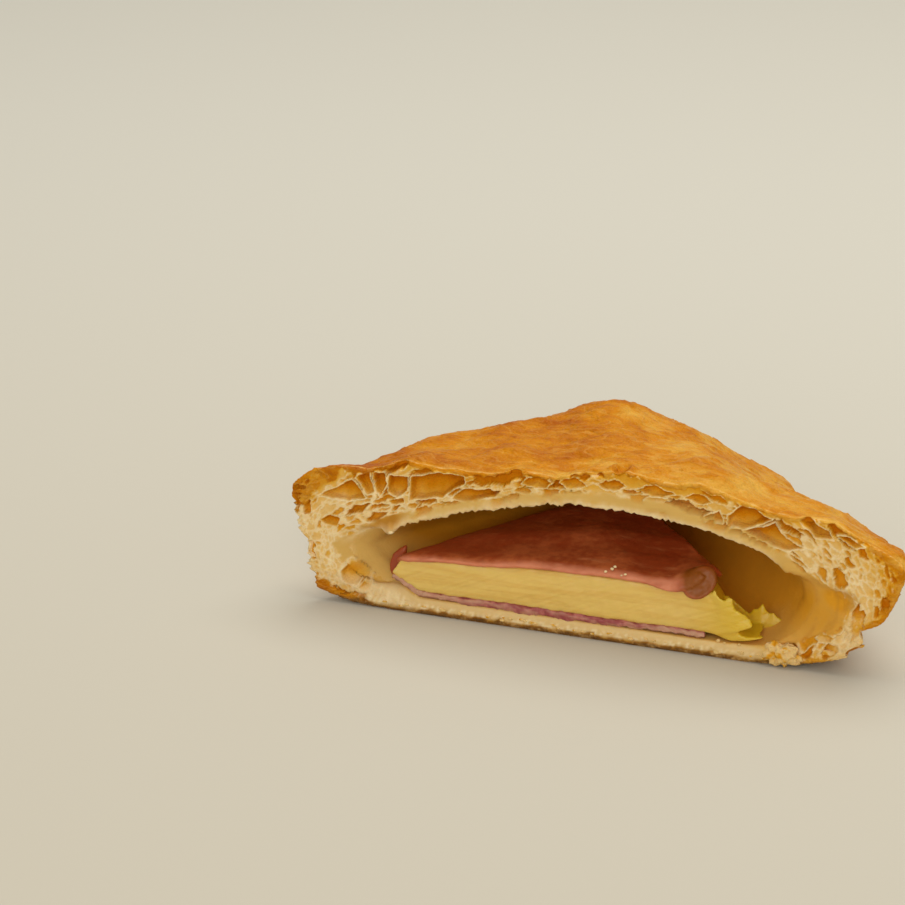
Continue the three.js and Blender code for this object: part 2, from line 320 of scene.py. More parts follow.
@dataclass(frozen=True)
class Hollow:
    """The baked hollow over the filling."""

    middle_x: float = -4.5
    sides: dict[Flank, float] = field(
        default_factory=lambda: {Flank.LEFT: 34.6, Flank.RIGHT: 37.6, Flank.RIGHT_END: 48.5}
    )
    corner_sharpness: float = 9.0
    floor_height: float = 3.4
    tip_height: float = 12.5
    peak_height: float = 28.0
    roof_inner: Turn = Turn(2.2, 2.6, 1.4)
    roof_outer: Turn = Turn(0.45, 0.5, 0.85)
    roof_share: float = 14 / 28

    def edge(self, theta: Array) -> Array:
        """Returns how far the hollow reaches from its middle in each direction."""
        return reach(theta, self.sides, self.corner_sharpness)

    def floor(self, q: Array) -> Array:
        """Returns the floor's height at a share q of the way to the edge."""
        return self.floor_height + (self.tip_height - self.floor_height) * q**13

    def roof(self, theta: Array, q: Array) -> Array:
        """Returns the roof's height in a direction, at a share q of the way to the edge."""
        inside = np.clip(1 - np.clip(q, 0, 1) ** self.roof_inner.at(theta), 0, 1)
        return self.tip_height + (self.peak_height - self.tip_height) * inside ** self.roof_outer.at(theta)

    def polar(self, x: Array, y: Array) -> tuple[Array, Array]:
        """Returns the direction of each point of the plan from the middle, and its share of the way out."""
        theta = np.arctan2(np.maximum(y, 0.0), x - self.middle_x)
        return theta, np.hypot(x - self.middle_x, y) / self.edge(theta)

    def floor_at(self, x: Array, y: Array) -> Array:
        """Returns the height that the filling rests on."""
        _, q = self.polar(x, y)
        return self.floor(np.clip(1.02 * q, 0, 1))

    def skin(self, theta: Array, t: Array) -> Array:
        """Places the points of the hollow's skin, as Outside.skin does."""
        way = np.abs(theta)
        on_roof = t <= self.roof_share
        roof_q = np.sin(np.clip(t / self.roof_share, 0, 1) * np.pi / 2)
        floor_q = np.cos(np.clip((t - self.roof_share) / (1 - self.roof_share), 0, 1) * np.pi / 2)
        q = np.where(on_roof, roof_q, floor_q)
        z = np.where(on_roof, self.roof(way, roof_q), self.floor(floor_q))
        r = self.edge(way) * q
        return np.stack(
            [self.middle_x + r * np.cos(way), r * np.sin(way) * np.where(theta < 0, -1, 1), z], -1
        )


@dataclass(frozen=True)
class Pocket:
    """A large bubble that the knife opened, by the corners of its opening on the cut face."""

    corners: tuple[tuple[float, float], ...]
    depth: float

    def open_by(self, x: Array, z: Array) -> Array:
        """Returns how far inside the opening each point is in millimetres, negative outside."""
        inside = np.zeros(len(x), bool)
        gap = np.full(len(x), np.inf)
        for (ax, az), (bx, bz) in zip(self.corners, self.corners[1:] + self.corners[:1]):
            ex, ez = bx - ax, bz - az
            t = np.clip(((x - ax) * ex + (z - az) * ez) / (ex * ex + ez * ez), 0, 1)
            gap = np.minimum(gap, np.hypot(x - ax - t * ex, z - az - t * ez))
            inside ^= ((az > z) != (bz > z)) & (x < ax + (z - az) * ex / (ez or 1e-9))
        return np.where(inside, gap, -gap)

    def level(self, z: Array) -> Array:
        """Returns how high in the opening each point is, from 0 to 1."""
        heights = [corner[1] for corner in self.corners]
        return np.clip((z - min(heights)) / (max(heights) - min(heights)), 0, 1)


def slit(x: float, z: float, width: float, height: float, tilt: float, depth: float) -> Pocket:
    """Makes a flat bubble with pointed ends.

    Args:
        x: Its middle along the cut.
        z: Its middle's height.
        width: Its length.
        height: Its opening.
        tilt: Its slope in degrees.
        depth: How far it goes in.

    Returns:
        The pocket.
    """
    shape = ((-0.5, -0.1), (-0.2, -0.45), (0.22, -0.5), (0.5, 0.0), (0.2, 0.45), (-0.25, 0.5))
    c, s = math.cos(math.radians(tilt)), math.sin(math.radians(tilt))
    return Pocket(
        tuple((x + u * width * c - v * height * s, z + u * width * s + v * height * c) for u, v in shape),
        depth,
    )


POCKETS = (
    Pocket(((-57.8, 22.5), (-50.6, 26.7), (-47.6, 23.2), (-51.2, 22.2), (-54.4, 22.1)), 3.6),
    Pocket(((-50.0, 26.9), (-47.1, 28.3), (-45.9, 24.6), (-47.3, 23.8)), 3.6),
    Pocket(((-46.5, 28.3), (-43.8, 28.8), (-43.1, 26.7), (-44.7, 23.8), (-45.5, 24.6)), 3.8),
    Pocket(((-43.0, 28.6), (-38.9, 28.9), (-39.0, 26.0), (-41.5, 24.1), (-43.1, 25.2)), 4.2),
    Pocket(((-38.4, 29.0), (-32.4, 30.7), (-27.4, 30.4), (-27.4, 28.9), (-31.8, 25.5), (-38.6, 23.9)), 5.2),
    Pocket(((-43.0, 23.4), (-39.9, 24.5), (-39.8, 23.2), (-41.5, 22.4)), 2.4),
    Pocket(((-30.0, 25.6), (-27.1, 27.9), (-19.4, 28.7), (-21.4, 26.9), (-27.1, 25.1)), 3.8),
    Pocket(((-57.6, 17.4), (-55.4, 18.7), (-53.4, 18.3), (-53.8, 16.3), (-56.7, 16.4)), 2.6),
    Pocket(((19.2, 28.3), (23.6, 30.3), (24.3, 27.7)), 3.4),
    Pocket(((25.0, 29.6), (27.6, 31.7), (30.4, 31.7), (34.1, 29.9), (29.2, 27.6), (25.3, 27.0)), 4.6),
    Pocket(((28.3, 27.1), (34.7, 29.3), (36.6, 26.5), (40.4, 25.0), (36.3, 24.1), (29.7, 26.0)), 4.6),
    Pocket(((38.0, 31.3), (40.6, 31.2), (44.6, 29.2), (45.8, 27.3), (42.2, 27.5)), 4.8),
    Pocket(((46.2, 28.4), (48.2, 28.6), (51.6, 26.9), (49.7, 26.3)), 2.8),
    slit(-38.0, 22.9, 2.6, 1.2, 8, 1.4),
    slit(-32.6, 23.7, 4.4, 1.0, 10, 1.2),
    slit(-12.5, 31.1, 6.6, 1.9, 5, 2.4),
    slit(-15.4, 29.1, 4.2, 1.5, 6, 1.8),
    slit(-5.4, 31.9, 5.4, 1.8, 2, 2.2),
    slit(-5.4, 30.1, 5.8, 1.3, 0, 1.6),
    slit(10.9, 32.6, 8.2, 2.2, 1, 2.4),
    slit(11.4, 30.9, 5.4, 1.1, 0, 1.2),
    slit(19.4, 32.2, 5.6, 1.9, -5, 2.2),
    slit(2.6, 32.6, 6.0, 2.2, 3, 2.2),
    slit(47.2, 9.8, 2.4, 2.4, 0, 1.0),
    slit(44.8, 7.1, 4.2, 1.6, 12, 1.2),
)
BASE_POCKETS = (
    Pocket(((-53.4, 6.8), (-51.6, 8.8), (-49.2, 8.4), (-47.7, 6.9), (-47.3, 5.0), (-50.2, 3.8), (-53.0, 4.9)), 3.0),
    slit(-47.8, 3.1, 3.4, 1.1, -14, 1.7),
    slit(-45.6, 1.9, 3.0, 0.9, -12, 1.5),
    slit(-42.2, 1.5, 3.2, 0.6, -8, 1.2),
    slit(-39.2, 1.2, 2.6, 0.5, -5, 1.0),
)


def deselect() -> None:
    """Leaves nothing selected, so that an operator acts only on what comes next."""
    if bpy.context.object and bpy.context.object.mode != "OBJECT":
        bpy.ops.object.mode_set(mode="OBJECT")
    bpy.ops.object.select_all(action="DESELECT")


def take(piece: bpy.types.Object) -> None:
    """Makes one object the only selected and active one."""
    deselect()
    piece.select_set(True)
    bpy.context.view_layer.objects.active = piece


def places(piece: bpy.types.Object) -> Array:
    """Returns the vertices' places in millimetres, with Y counted from the cut."""
    flat = np.empty(len(piece.data.vertices) * 3, np.float32)
    piece.data.vertices.foreach_get("co", flat)
    return flat.reshape(-1, 3).astype(float) / MM + (0.0, BASE_POINT_Y, 0.0)


def put(piece: bpy.types.Object, points: Array) -> None:
    """Writes the vertices' places, given as places() returns them."""
    flat = ((points - (0.0, BASE_POINT_Y, 0.0)) * MM).astype(np.float32)
    piece.data.vertices.foreach_set("co", flat.ravel())
    piece.data.update()


def normals(piece: bpy.types.Object) -> Array:
    """Returns the vertices' outward directions, as (n, 3)."""
    flat = np.empty(len(piece.data.vertices) * 3, np.float32)
    piece.data.vertex_normals.foreach_get("vector", flat)
    return flat.reshape(-1, 3).astype(float)


def edges(piece: bpy.types.Object) -> Array:
    """Returns the two vertices of each edge, as (n, 2)."""
    flat = np.empty(len(piece.data.edges) * 2, np.int32)
    piece.data.edges.foreach_get("vertices", flat)
    return flat.reshape(-1, 2)


def spread(values: Array, links: Array, passes: int) -> Array:
    """Softens a value over the surface, by averaging it along the mesh's edges.

    Args:
        values: One value for each vertex.
        links: The mesh's edges.
        passes: How often it is averaged.

    Returns:
        The softened values.
    """
    n = len(values)
    count = np.bincount(links.ravel(), minlength=n) + 1.0
    for _ in range(passes):
        total = values + np.bincount(links[:, 0], values[links[:, 1]], n)
        total += np.bincount(links[:, 1], values[links[:, 0]], n)
        values = total / count
    return values


def attribute(piece: bpy.types.Object, name: str, values: Array) -> None:
    """Stores one number for each vertex, which a material can read by name."""
    layer = piece.data.attributes.new(name, "FLOAT", "POINT")
    layer.data.foreach_set("value", values.astype(np.float32))


def shaped_ball(
    name: str, columns: int, rings: int, skin: Callable[[Array, Array], Array]
) -> bpy.types.Object:
    """Adds a ball and moves its points to a skin.

    Args:
        name: The object's name.
        columns: How many steps it has round.
        rings: How many steps it has from its top to its underside.
        skin: Places points, given directions and shares of the way from the top.

    Returns:
        The new object.
    """
    deselect()
    bpy.ops.mesh.primitive_uv_sphere_add(segments=columns, ring_count=rings, radius=1.0)
    ball = bpy.context.object
    ball.name = name
    unit = (places(ball) - (0.0, BASE_POINT_Y, 0.0)) * MM
    unit /= np.linalg.norm(unit, axis=1)[:, None]
    put(ball, skin(np.arctan2(unit[:, 1], unit[:, 0]), np.arccos(np.clip(unit[:, 2], -1, 1)) / np.pi))
    return ball


def finish_modifier(piece: bpy.types.Object, kind: str, **settings: object) -> None:
    """Adds a modifier with the given settings and applies it at once."""
    take(piece)
    modifier = piece.modifiers.new(kind.lower(), kind)
    for key, value in settings.items():
        setattr(modifier, key, value)
    bpy.ops.object.modifier_apply(modifier=modifier.name)


def cut_with(piece: bpy.types.Object, tool: bpy.types.Object) -> None:
    """Takes one closed shape out of another and removes the tool."""
    finish_modifier(piece, "BOOLEAN", operation="DIFFERENCE", object=tool, solver="EXACT")
    bpy.data.objects.remove(tool)


def select_faces(piece: bpy.types.Object, chosen: Array) -> None:
    """Goes to edit mode with just the chosen faces selected."""
    take(piece)
    mesh = piece.data
    mesh.vertices.foreach_set("select", np.zeros(len(mesh.vertices), bool))
    mesh.edges.foreach_set("select", np.zeros(len(mesh.edges), bool))
    mesh.polygons.foreach_set("select", chosen)
    bpy.context.tool_settings.mesh_select_mode = (False, False, True)
    bpy.ops.object.mode_set(mode="EDIT")


def face_middles(piece: bpy.types.Object) -> tuple[Array, Array]:
    """Returns the faces' middles, as places() does, and their outward directions."""
    n = len(piece.data.polygons)
    middle, way = np.empty(n * 3, np.float32), np.empty(n * 3, np.float32)
    piece.data.polygons.foreach_get("center", middle)
    piece.data.polygons.foreach_get("normal", way)
    return middle.reshape(-1, 3) / MM + (0.0, BASE_POINT_Y, 0.0), way.reshape(-1, 3)


def slab(name: str, across: int, deep: int, high: int, place: Callable[..., Array]) -> bpy.types.Object:
    """Adds a box, divides it evenly and moves its points.

    Args:
        name: The object's name.
        across: Steps along the cut.
        deep: Steps away from the cut.
        high: Steps upwards.
        place: Takes the three shares from 0 to 1 and returns places in millimetres.

    Returns:
        The new object.
    """
    deselect()
    bpy.ops.mesh.primitive_cube_add(size=1.0, location=(0.5, 0.5, 0.5))
    box = bpy.context.object
    box.name = name
    bpy.ops.object.transform_apply(location=True)
    bpy.ops.object.mode_set(mode="EDIT")
    for axis, steps in enumerate((across, deep, high)):
        for k in range(1, steps):
            at, way = [0.0, 0.0, 0.0], [0.0, 0.0, 0.0]
            at[axis], way[axis] = k / steps, 1.0
            bpy.ops.mesh.select_all(action="SELECT")
            bpy.ops.mesh.bisect(plane_co=at, plane_no=way)
    bpy.ops.object.mode_set(mode="OBJECT")
    share = (places(box) - (0.0, BASE_POINT_Y, 0.0)) * MM
    put(box, place(share[:, 0], share[:, 1], share[:, 2]))
    return box


class Shader:
    """A material's node tree, with short ways to add to it."""

    def __init__(self, name: str) -> None:
        """Starts an empty material with a Principled shader.

        Args:
            name: The material's name.
        """
        self.material = bpy.data.materials.new(name)
        self.material.use_nodes = True
        self.tree = self.material.node_tree
        self.tree.nodes.clear()
        self.output = self.tree.nodes.new("ShaderNodeOutputMaterial")
        self.surface = self.tree.nodes.new("ShaderNodeBsdfPrincipled")
        self.tree.links.new(self.surface.outputs[0], self.output.inputs["Surface"])
        self.place = self.tree.nodes.new("ShaderNodeTexCoord").outputs["Object"]

    def node(self, kind: str, **settings: object) -> bpy.types.Node:
        """Adds a node with the given settings."""
        made = self.tree.nodes.new(kind)
        for key, value in settings.items():
            setattr(made, key, value)
        return made

    def link(self, value: object, socket: bpy.types.NodeSocket) -> None:
        """Feeds a socket from another one, or sets it to a plain value."""
        if isinstance(value, bpy.types.NodeSocket):
            self.tree.links.new(value, socket)
        elif isinstance(value, tuple) and len(value) == 3 and socket.type == "RGBA":
            socket.default_value = (*value, 1.0)
        else:
            socket.default_value = value

    def read(self, mask: str) -> bpy.types.NodeSocket:
        """Returns a point attribute's value."""
        return self.node("ShaderNodeAttribute", attribute_name=mask).outputs["Fac"]

    def math(self, operation: str, a: object, b: object = 0.0, clamp: bool = False) -> bpy.types.NodeSocket:
        """Returns the result of a sum on two values."""
        made = self.node("ShaderNodeMath", operation=operation, use_clamp=clamp)
        self.link(a, made.inputs[0])
        self.link(b, made.inputs[1])
        return made.outputs[0]

    def blend(self, share: object, a: object, b: object) -> bpy.types.NodeSocket:
        """Returns a colour between a and b."""
        made = self.node("ShaderNodeMix", data_type="RGBA")
        self.link(share, made.inputs[0])
        self.link(a, made.inputs[6])
        self.link(b, made.inputs[7])
        return made.outputs[2]

    def steps(self, value: object, low: float, high: float) -> bpy.types.NodeSocket:
        """Returns 0 below low and 1 above high, and goes evenly between them."""
        made = self.node("ShaderNodeMapRange", interpolation_type="SMOOTHSTEP")
        for socket, number in zip(made.inputs[:3], (value, low, high)):
            self.link(number, socket)
        return made.outputs[0]

    def group(self, tree: bpy.types.NodeTree, **values: object) -> bpy.types.Node:
        """Places a shared effect, with its inputs set by name."""
        made = self.node("ShaderNodeGroup", node_tree=tree)
        self.link(self.place, made.inputs["Place"])
        for key, value in values.items():
            self.link(value, made.inputs[key.replace("_", " ")])
        return made

    def ramp(self, value: object, *stops: tuple[float, Colour]) -> bpy.types.NodeSocket:
        """Returns a colour read from a row of stops."""
        made = self.node("ShaderNodeValToRGB")
        self.link(value, made.inputs[0])
        row = made.color_ramp.elements
        while len(row) < len(stops):
            row.new(0.5)
        for stop, (at, colour) in zip(row, stops):
            stop.position = at
            stop.color = (*colour, 1.0)
        return made.outputs[0]


def new_group(name: str, inputs: dict[str, tuple[str, object]], outputs: dict[str, str]) -> bpy.types.NodeTree:
    """Makes an empty shared effect.

    Args:
        name: The group's name.
        inputs: Each input's socket type and default value.
        outputs: Each output's socket type.

    Returns:
        The node tree, with its input and output nodes in place.
    """
    tree = bpy.data.node_groups.new(name, "ShaderNodeTree")
    for key, (kind, value) in inputs.items():
        socket = tree.interface.new_socket(key, in_out="INPUT", socket_type=kind)
        if value is not None:
            socket.default_value = value
    for key, kind in outputs.items():
        tree.interface.new_socket(key, in_out="OUTPUT", socket_type=kind)
    tree.nodes.new("NodeGroupInput")
    tree.nodes.new("NodeGroupOutput")
    return tree


def mottle_group() -> bpy.types.NodeTree:
    """Builds the uneven tone that every food surface has: one colour, lighter and darker in patches."""
    tree = new_group(
        "uneven tone",
        {
            "Place": ("NodeSocketVector", None),
            "Colour": ("NodeSocketColor", None),
            "Patch Size": ("NodeSocketFloat", 180.0),
            "Speck Size": ("NodeSocketFloat", 1200.0),
            "Amount": ("NodeSocketFloat", 0.15),
        },
        {"Colour": "NodeSocketColor", "Tone": "NodeSocketFloat"},
    )
    given, result = tree.nodes["Group Input"], tree.nodes["Group Output"]
    total = None
    for size, share in (("Patch Size", 0.65), ("Speck Size", 0.35)):
        noise = tree.nodes.new("ShaderNodeTexNoise")
        noise.inputs["Detail"].default_value = 3.0
        tree.links.new(given.outputs["Place"], noise.inputs["Vector"])
        tree.links.new(given.outputs[size], noise.inputs["Scale"])
        part = tree.nodes.new("ShaderNodeMath")
        part.operation = "MULTIPLY_ADD"
        part.inputs[1].default_value = share * 2.0
        part.inputs[2].default_value = -share
        tree.links.new(noise.outputs["Fac"], part.inputs[0])
        if total is None:
            total = part.outputs[0]
            continue
        both = tree.nodes.new("ShaderNodeMath")
        tree.links.new(total, both.inputs[0])
        tree.links.new(part.outputs[0], both.inputs[1])
        total = both.outputs[0]
    scaled = tree.nodes.new("ShaderNodeMath")
    scaled.operation = "MULTIPLY"
    tree.links.new(total, scaled.inputs[0])
    tree.links.new(given.outputs["Amount"], scaled.inputs[1])
    lightness = tree.nodes.new("ShaderNodeMath")
    lightness.inputs[1].default_value = 1.0
    tree.links.new(scaled.outputs[0], lightness.inputs[0])
    shaded = tree.nodes.new("ShaderNodeHueSaturation")
    tree.links.new(lightness.outputs[0], shaded.inputs["Value"])
    tree.links.new(given.outputs["Colour"], shaded.inputs["Color"])
    tree.links.new(shaded.outputs[0], result.inputs["Colour"])
    tree.links.new(total, result.inputs["Tone"])
    return tree


def relief_group() -> bpy.types.NodeTree:
    """Builds the fine relief shared by all the surfaces, as a height for a Bump node."""
    tree = new_group(
        "fine relief",
        {
            "Place": ("NodeSocketVector", None),
            "Coarse": ("NodeSocketFloat", 500.0),
            "Fine": ("NodeSocketFloat", 1800.0),
            "Balance": ("NodeSocketFloat", 0.5),
        },
        {"Height": "NodeSocketFloat"},
    )
    given, result = tree.nodes["Group Input"], tree.nodes["Group Output"]
    layers = []
    for size in ("Coarse", "Fine"):
        noise = tree.nodes.new("ShaderNodeTexNoise")
        noise.inputs["Detail"].default_value = 2.0
        tree.links.new(given.outputs["Place"], noise.inputs["Vector"])
        tree.links.new(given.outputs[size], noise.inputs["Scale"])
        layers.append(noise.outputs["Fac"])
    mixed = tree.nodes.new("ShaderNodeMix")
    tree.links.new(given.outputs["Balance"], mixed.inputs[0])
    tree.links.new(layers[0], mixed.inputs[2])
    tree.links.new(layers[1], mixed.inputs[3])
    tree.links.new(mixed.outputs[0], result.inputs["Height"])
    return tree


def flake_group() -> bpy.types.NodeTree:
    """Builds overlapping flakes: a height with steps, and the thin lines of the flakes' edges."""
    tree = new_group(
        "flakes",
        {"Place": ("NodeSocketVector", None), "Size": ("NodeSocketFloat", 1.0)},
        {"Height": "NodeSocketFloat", "Edge": "NodeSocketFloat"},
    )
    given, result = tree.nodes["Group Input"], tree.nodes["Group Output"]
    turned = tree.nodes.new("ShaderNodeMapping")
    turned.inputs["Scale"].default_value = (65.0, 240.0, 200.0)
    turned.inputs["Rotation"].default_value = (0.0, 0.0, 0.35)
    tree.links.new(given.outputs["Place"], turned.inputs["Vector"])
    noise = tree.nodes.new("ShaderNodeTexNoise")
    noise.inputs["Detail"].default_value = 2.0
    tree.links.new(turned.outputs[0], noise.inputs["Vector"])
    tree.links.new(given.outputs["Size"], noise.inputs["Scale"])
    total, lines = None, None
    for level in (0.42, 0.5, 0.58):
        step = tree.nodes.new("ShaderNodeMapRange")
        away = tree.nodes.new("ShaderNodeMath")
        away.operation = "COMPARE"
        away.inputs[1].default_value = level
        away.inputs[2].default_value = 0.006
        step.inputs["From Min"].default_value = level - 0.02
        step.inputs["From Max"].default_value = level + 0.02
        tree.links.new(noise.outputs["Fac"], step.inputs["Value"])
        tree.links.new(noise.outputs["Fac"], away.inputs[0])
        if total is None:
            total, lines = step.outputs[0], away.outputs[0]
            continue
        for name, more in (("total", step.outputs[0]), ("lines", away.outputs[0])):
            both = tree.nodes.new("ShaderNodeMath")
            tree.links.new(total if name == "total" else lines, both.inputs[0])
            tree.links.new(more, both.inputs[1])
            if name == "total":
                total = both.outputs[0]
            else:
                lines = both.outputs[0]
    tree.links.new(total, result.inputs["Height"])
    tree.links.new(lines, result.inputs["Edge"])
    return tree


@dataclass(frozen=True)
class Effects:
    """The shader groups that the finishes share."""

    mottle: bpy.types.NodeTree
    relief: bpy.types.NodeTree
    flakes: bpy.types.NodeTree

    @classmethod
    def make(cls) -> "Effects":
        """Builds each group once."""
        return cls(mottle_group(), relief_group(), flake_group())


@dataclass(frozen=True)
class DoughFinish:
    """Baked puff pastry: glazed crust, cream crumb, golden bubbles and the close lining, with painted shade and painted
    light in the bubbles and the hollow.
    """

    # From cream to deep orange: the crumb's own tones, which the tone attribute also uses for painted shade deep inside
    # the bubbles.
    inside_tones: tuple[Colour, ...] = (
        (0.92, 0.73, 0.42),
        (0.82, 0.55, 0.21),
        (0.76, 0.40, 0.045),
        (0.68, 0.27, 0.005),
        (0.56, 0.17, 0.002),
    )
    lining: Colour = (0.70, 0.44, 0.125)
    # The hollow's colours: hollow is its deep colour, partly its own browning and partly painted shade; hollow_lit is
    # the warmer, brighter painted light where more light falls in on the right.
    hollow: Colour = (0.44, 0.165, 0.006)
    hollow_lit: Colour = (0.72, 0.33, 0.022)
    crust_pale: Colour = (0.72, 0.38, 0.05)
    crust_gold: Colour = (0.62, 0.225, 0.002)
    crust_brown: Colour = (0.42, 0.10, 0.002)
    crust_edge: Colour = (0.82, 0.50, 0.14)
    under_pale: Colour = (0.54, 0.33, 0.12)
    under_brown: Colour = (0.20, 0.09, 0.022)

    def material(self, effects: Effects) -> bpy.types.Material:
        """Returns the dough's material."""
        s = Shader("baked puff pastry")
        last = len(self.inside_tones) - 1
        stops = [(k / last, colour) for k, colour in enumerate(self.inside_tones)]
        inside = s.ramp(s.read(Mask.TONE.value), *stops)
        tone = s.group(effects.mottle, Colour=inside, Patch_Size=300.0, Speck_Size=1600.0, Amount=0.16)
        lining = s.group(effects.mottle, Colour=self.lining, Patch_Size=120.0, Speck_Size=900.0, Amount=0.07)
        colour = s.blend(s.read(Mask.LINING.value), tone.outputs["Colour"], lining.outputs["Colour"])
        # The hollow's colour goes from its painted shade to its painted light as the tone rises.
        depth = s.blend(s.read(Mask.TONE.value), self.hollow, self.hollow_lit)
        hollow = s.group(effects.mottle, Colour=depth, Patch_Size=90.0, Speck_Size=500.0, Amount=0.16)
        colour = s.blend(s.read(Mask.HOLLOW.value), colour, hollow.outputs["Colour"])
        colour = s.blend(s.read(Mask.TORN.value), colour, self.inside_tones[0])
        stretched = s.node("ShaderNodeMapping")
        s.link(s.place, stretched.inputs["Vector"])
        s.link((150.0, 330.0, 260.0), stretched.inputs["Scale"])
        s.link((0.0, 0.0, 0.25), stretched.inputs["Rotation"])
        streaks = s.node("ShaderNodeTexNoise")
        s.link(stretched.outputs[0], streaks.inputs["Vector"])
        s.link(1.0, streaks.inputs["Scale"])
        s.link(5.0, streaks.inputs["Detail"])
        s.link(0.62, streaks.inputs["Roughness"])
        uneven = s.math("MULTIPLY_ADD", streaks.outputs["Fac"], 1.5)
        uneven.node.inputs[2].default_value = -0.75
        browned = s.math("ADD", s.read(Mask.BROWNING.value), uneven, clamp=True)
        crust = s.ramp(browned, (0.05, self.crust_pale), (0.45, self.crust_gold), (0.95, self.crust_brown))
        flakes = s.group(effects.flakes, Size=0.55)
        finer = s.group(effects.flakes, Size=1.6)
        edges_of = s.math("ADD", flakes.outputs["Edge"], s.math("MULTIPLY", finer.outputs["Edge"], 0.6), clamp=True)
        crust = s.blend(s.math("MULTIPLY", edges_of, 0.16), crust, self.crust_edge)
        colour = s.blend(s.steps(s.read(Mask.CRUST.value), 0.2, 0.75), colour, crust)
        spots = s.group(effects.mottle, Colour=self.under_brown, Patch_Size=420.0, Speck_Size=1400.0, Amount=0.4)
        under = s.blend(s.steps(spots.outputs["Tone"], -0.05, 0.35), spots.outputs["Colour"], self.under_pale)
        colour = s.blend(s.read(Mask.UNDER.value), colour, under)
        s.link(colour, s.surface.inputs["Base Color"])
        rough = s.math("MULTIPLY_ADD", s.steps(s.read(Mask.CRUST.value), 0.3, 0.9), -0.26)
        rough.node.inputs[2].default_value = 0.70
        s.link(s.math("ADD", rough, s.math("MULTIPLY", uneven, 0.25)), s.surface.inputs["Roughness"])
        s.link(s.math("MULTIPLY", s.steps(s.read(Mask.CRUST.value), 0.5, 1.0), 0.04), s.surface.inputs["Coat Weight"])
        s.link(0.3, s.surface.inputs["Coat Roughness"])
        s.link(0.16, s.surface.inputs["Specular IOR Level"])
        s.link((1.0, 0.65, 0.2), s.surface.inputs["Specular Tint"])
        s.link(0.08, s.surface.inputs["Subsurface Weight"])
        s.link((1.0, 0.45, 0.15), s.surface.inputs["Subsurface Radius"])
        s.link(0.0012, s.surface.inputs["Subsurface Scale"])
        relief = s.group(effects.relief, Coarse=700.0, Fine=2400.0, Balance=0.45)
        height = s.math("ADD", relief.outputs["Height"], s.math("MULTIPLY", streaks.outputs["Fac"], 1.1))
        height = s.math("SUBTRACT", height, 1.05)
        plain = s.math("MULTIPLY_ADD", s.read(Mask.LINING.value), -0.8)
        plain.node.inputs[2].default_value = 1.0
        height = s.math("MULTIPLY", height, plain)
        layered = s.math("ADD", flakes.outputs["Height"], s.math("MULTIPLY", finer.outputs["Height"], 0.5))
        layered = s.math("SUBTRACT", layered, 2.25)
        layered = s.math("MULTIPLY", layered, s.read(Mask.CRUST.value))
        height = s.math("ADD", height, s.math("MULTIPLY", layered, 0.28))
        creases = s.math("MULTIPLY", s.math("SUBTRACT", streaks.outputs["Fac"], 0.5), s.read(Mask.CRUST.value))
        height = s.math("ADD", height, s.math("MULTIPLY", creases, 2.2))
        rise = s.node("ShaderNodeBump")
        s.link(0.8, rise.inputs["Strength"])
        s.link(0.0006, rise.inputs["Distance"])
        s.link(height, rise.inputs["Height"])
        s.link(rise.outputs[0], s.surface.inputs["Normal"])
        return s.material


@dataclass(frozen=True)
class HamFinish:
    """Cooked ham: dusty pink-brown lean with paler threads of fat and a moist surface, darkened by painted shade where
    it lies in the hollow.
    """

    name: str
    lean: Colour
    # deep is the lean's darker tone, and also the painted shade that the depth attribute lays on.
    deep: Colour
    fat: Colour
    edge: Colour
    tan: Colour = (0.27, 0.072, 0.005)
    grain: float = 110.0
    relief: float = 0.4

    def material(self, effects: Effects) -> bpy.types.Material:
        """Returns this ham's material."""
        s = Shader(self.name)
        lean = s.group(effects.mottle, Colour=self.lean, Patch_Size=self.grain, Speck_Size=700.0, Amount=0.28)
        colour = s.blend(s.steps(lean.outputs["Tone"], -0.15, 0.28), self.deep, lean.outputs["Colour"])
        stretched = s.node("ShaderNodeMapping")
        s.link(s.place, stretched.inputs["Vector"])
        s.link((140.0, 420.0, 900.0), stretched.inputs["Scale"])
        s.link((0.0, 0.0, 0.35), stretched.inputs["Rotation"])
        threads = s.node("ShaderNodeTexNoise")
        s.link(stretched.outputs[0], threads.inputs["Vector"])
        s.link(1.0, threads.inputs["Scale"])
        s.link(4.0, threads.inputs["Detail"])
        colour = s.blend(s.math("MULTIPLY", s.steps(threads.outputs["Fac"], 0.58, 0.78), 0.6), colour, self.fat)
        # Painted shade: the depth attribute darkens the slice towards the deep colour.
        colour = s.blend(s.read("depth"), colour, self.deep)
        colour = s.blend(s.read("edge"), colour, self.edge)
        colour = s.blend(s.read("tan"), colour, self.tan)
        s.link(colour, s.surface.inputs["Base Color"])
        s.link(0.42, s.surface.inputs["Roughness"])
        s.link(0.35, s.surface.inputs["Specular IOR Level"])
        s.link(0.10, s.surface.inputs["Subsurface Weight"])
        s.link((1.0, 0.35, 0.25), s.surface.inputs["Subsurface Radius"])
        s.link(0.0012, s.surface.inputs["Subsurface Scale"])
        relief = s.group(effects.relief, Coarse=420.0, Fine=1500.0, Balance=0.4)
        rise = s.node("ShaderNodeBump")
        s.link(self.relief, rise.inputs["Strength"])
        s.link(0.0003, rise.inputs["Distance"])
        s.link(relief.outputs["Height"], rise.inputs["Height"])
        s.link(rise.outputs[0], s.surface.inputs["Normal"])
        return s.material


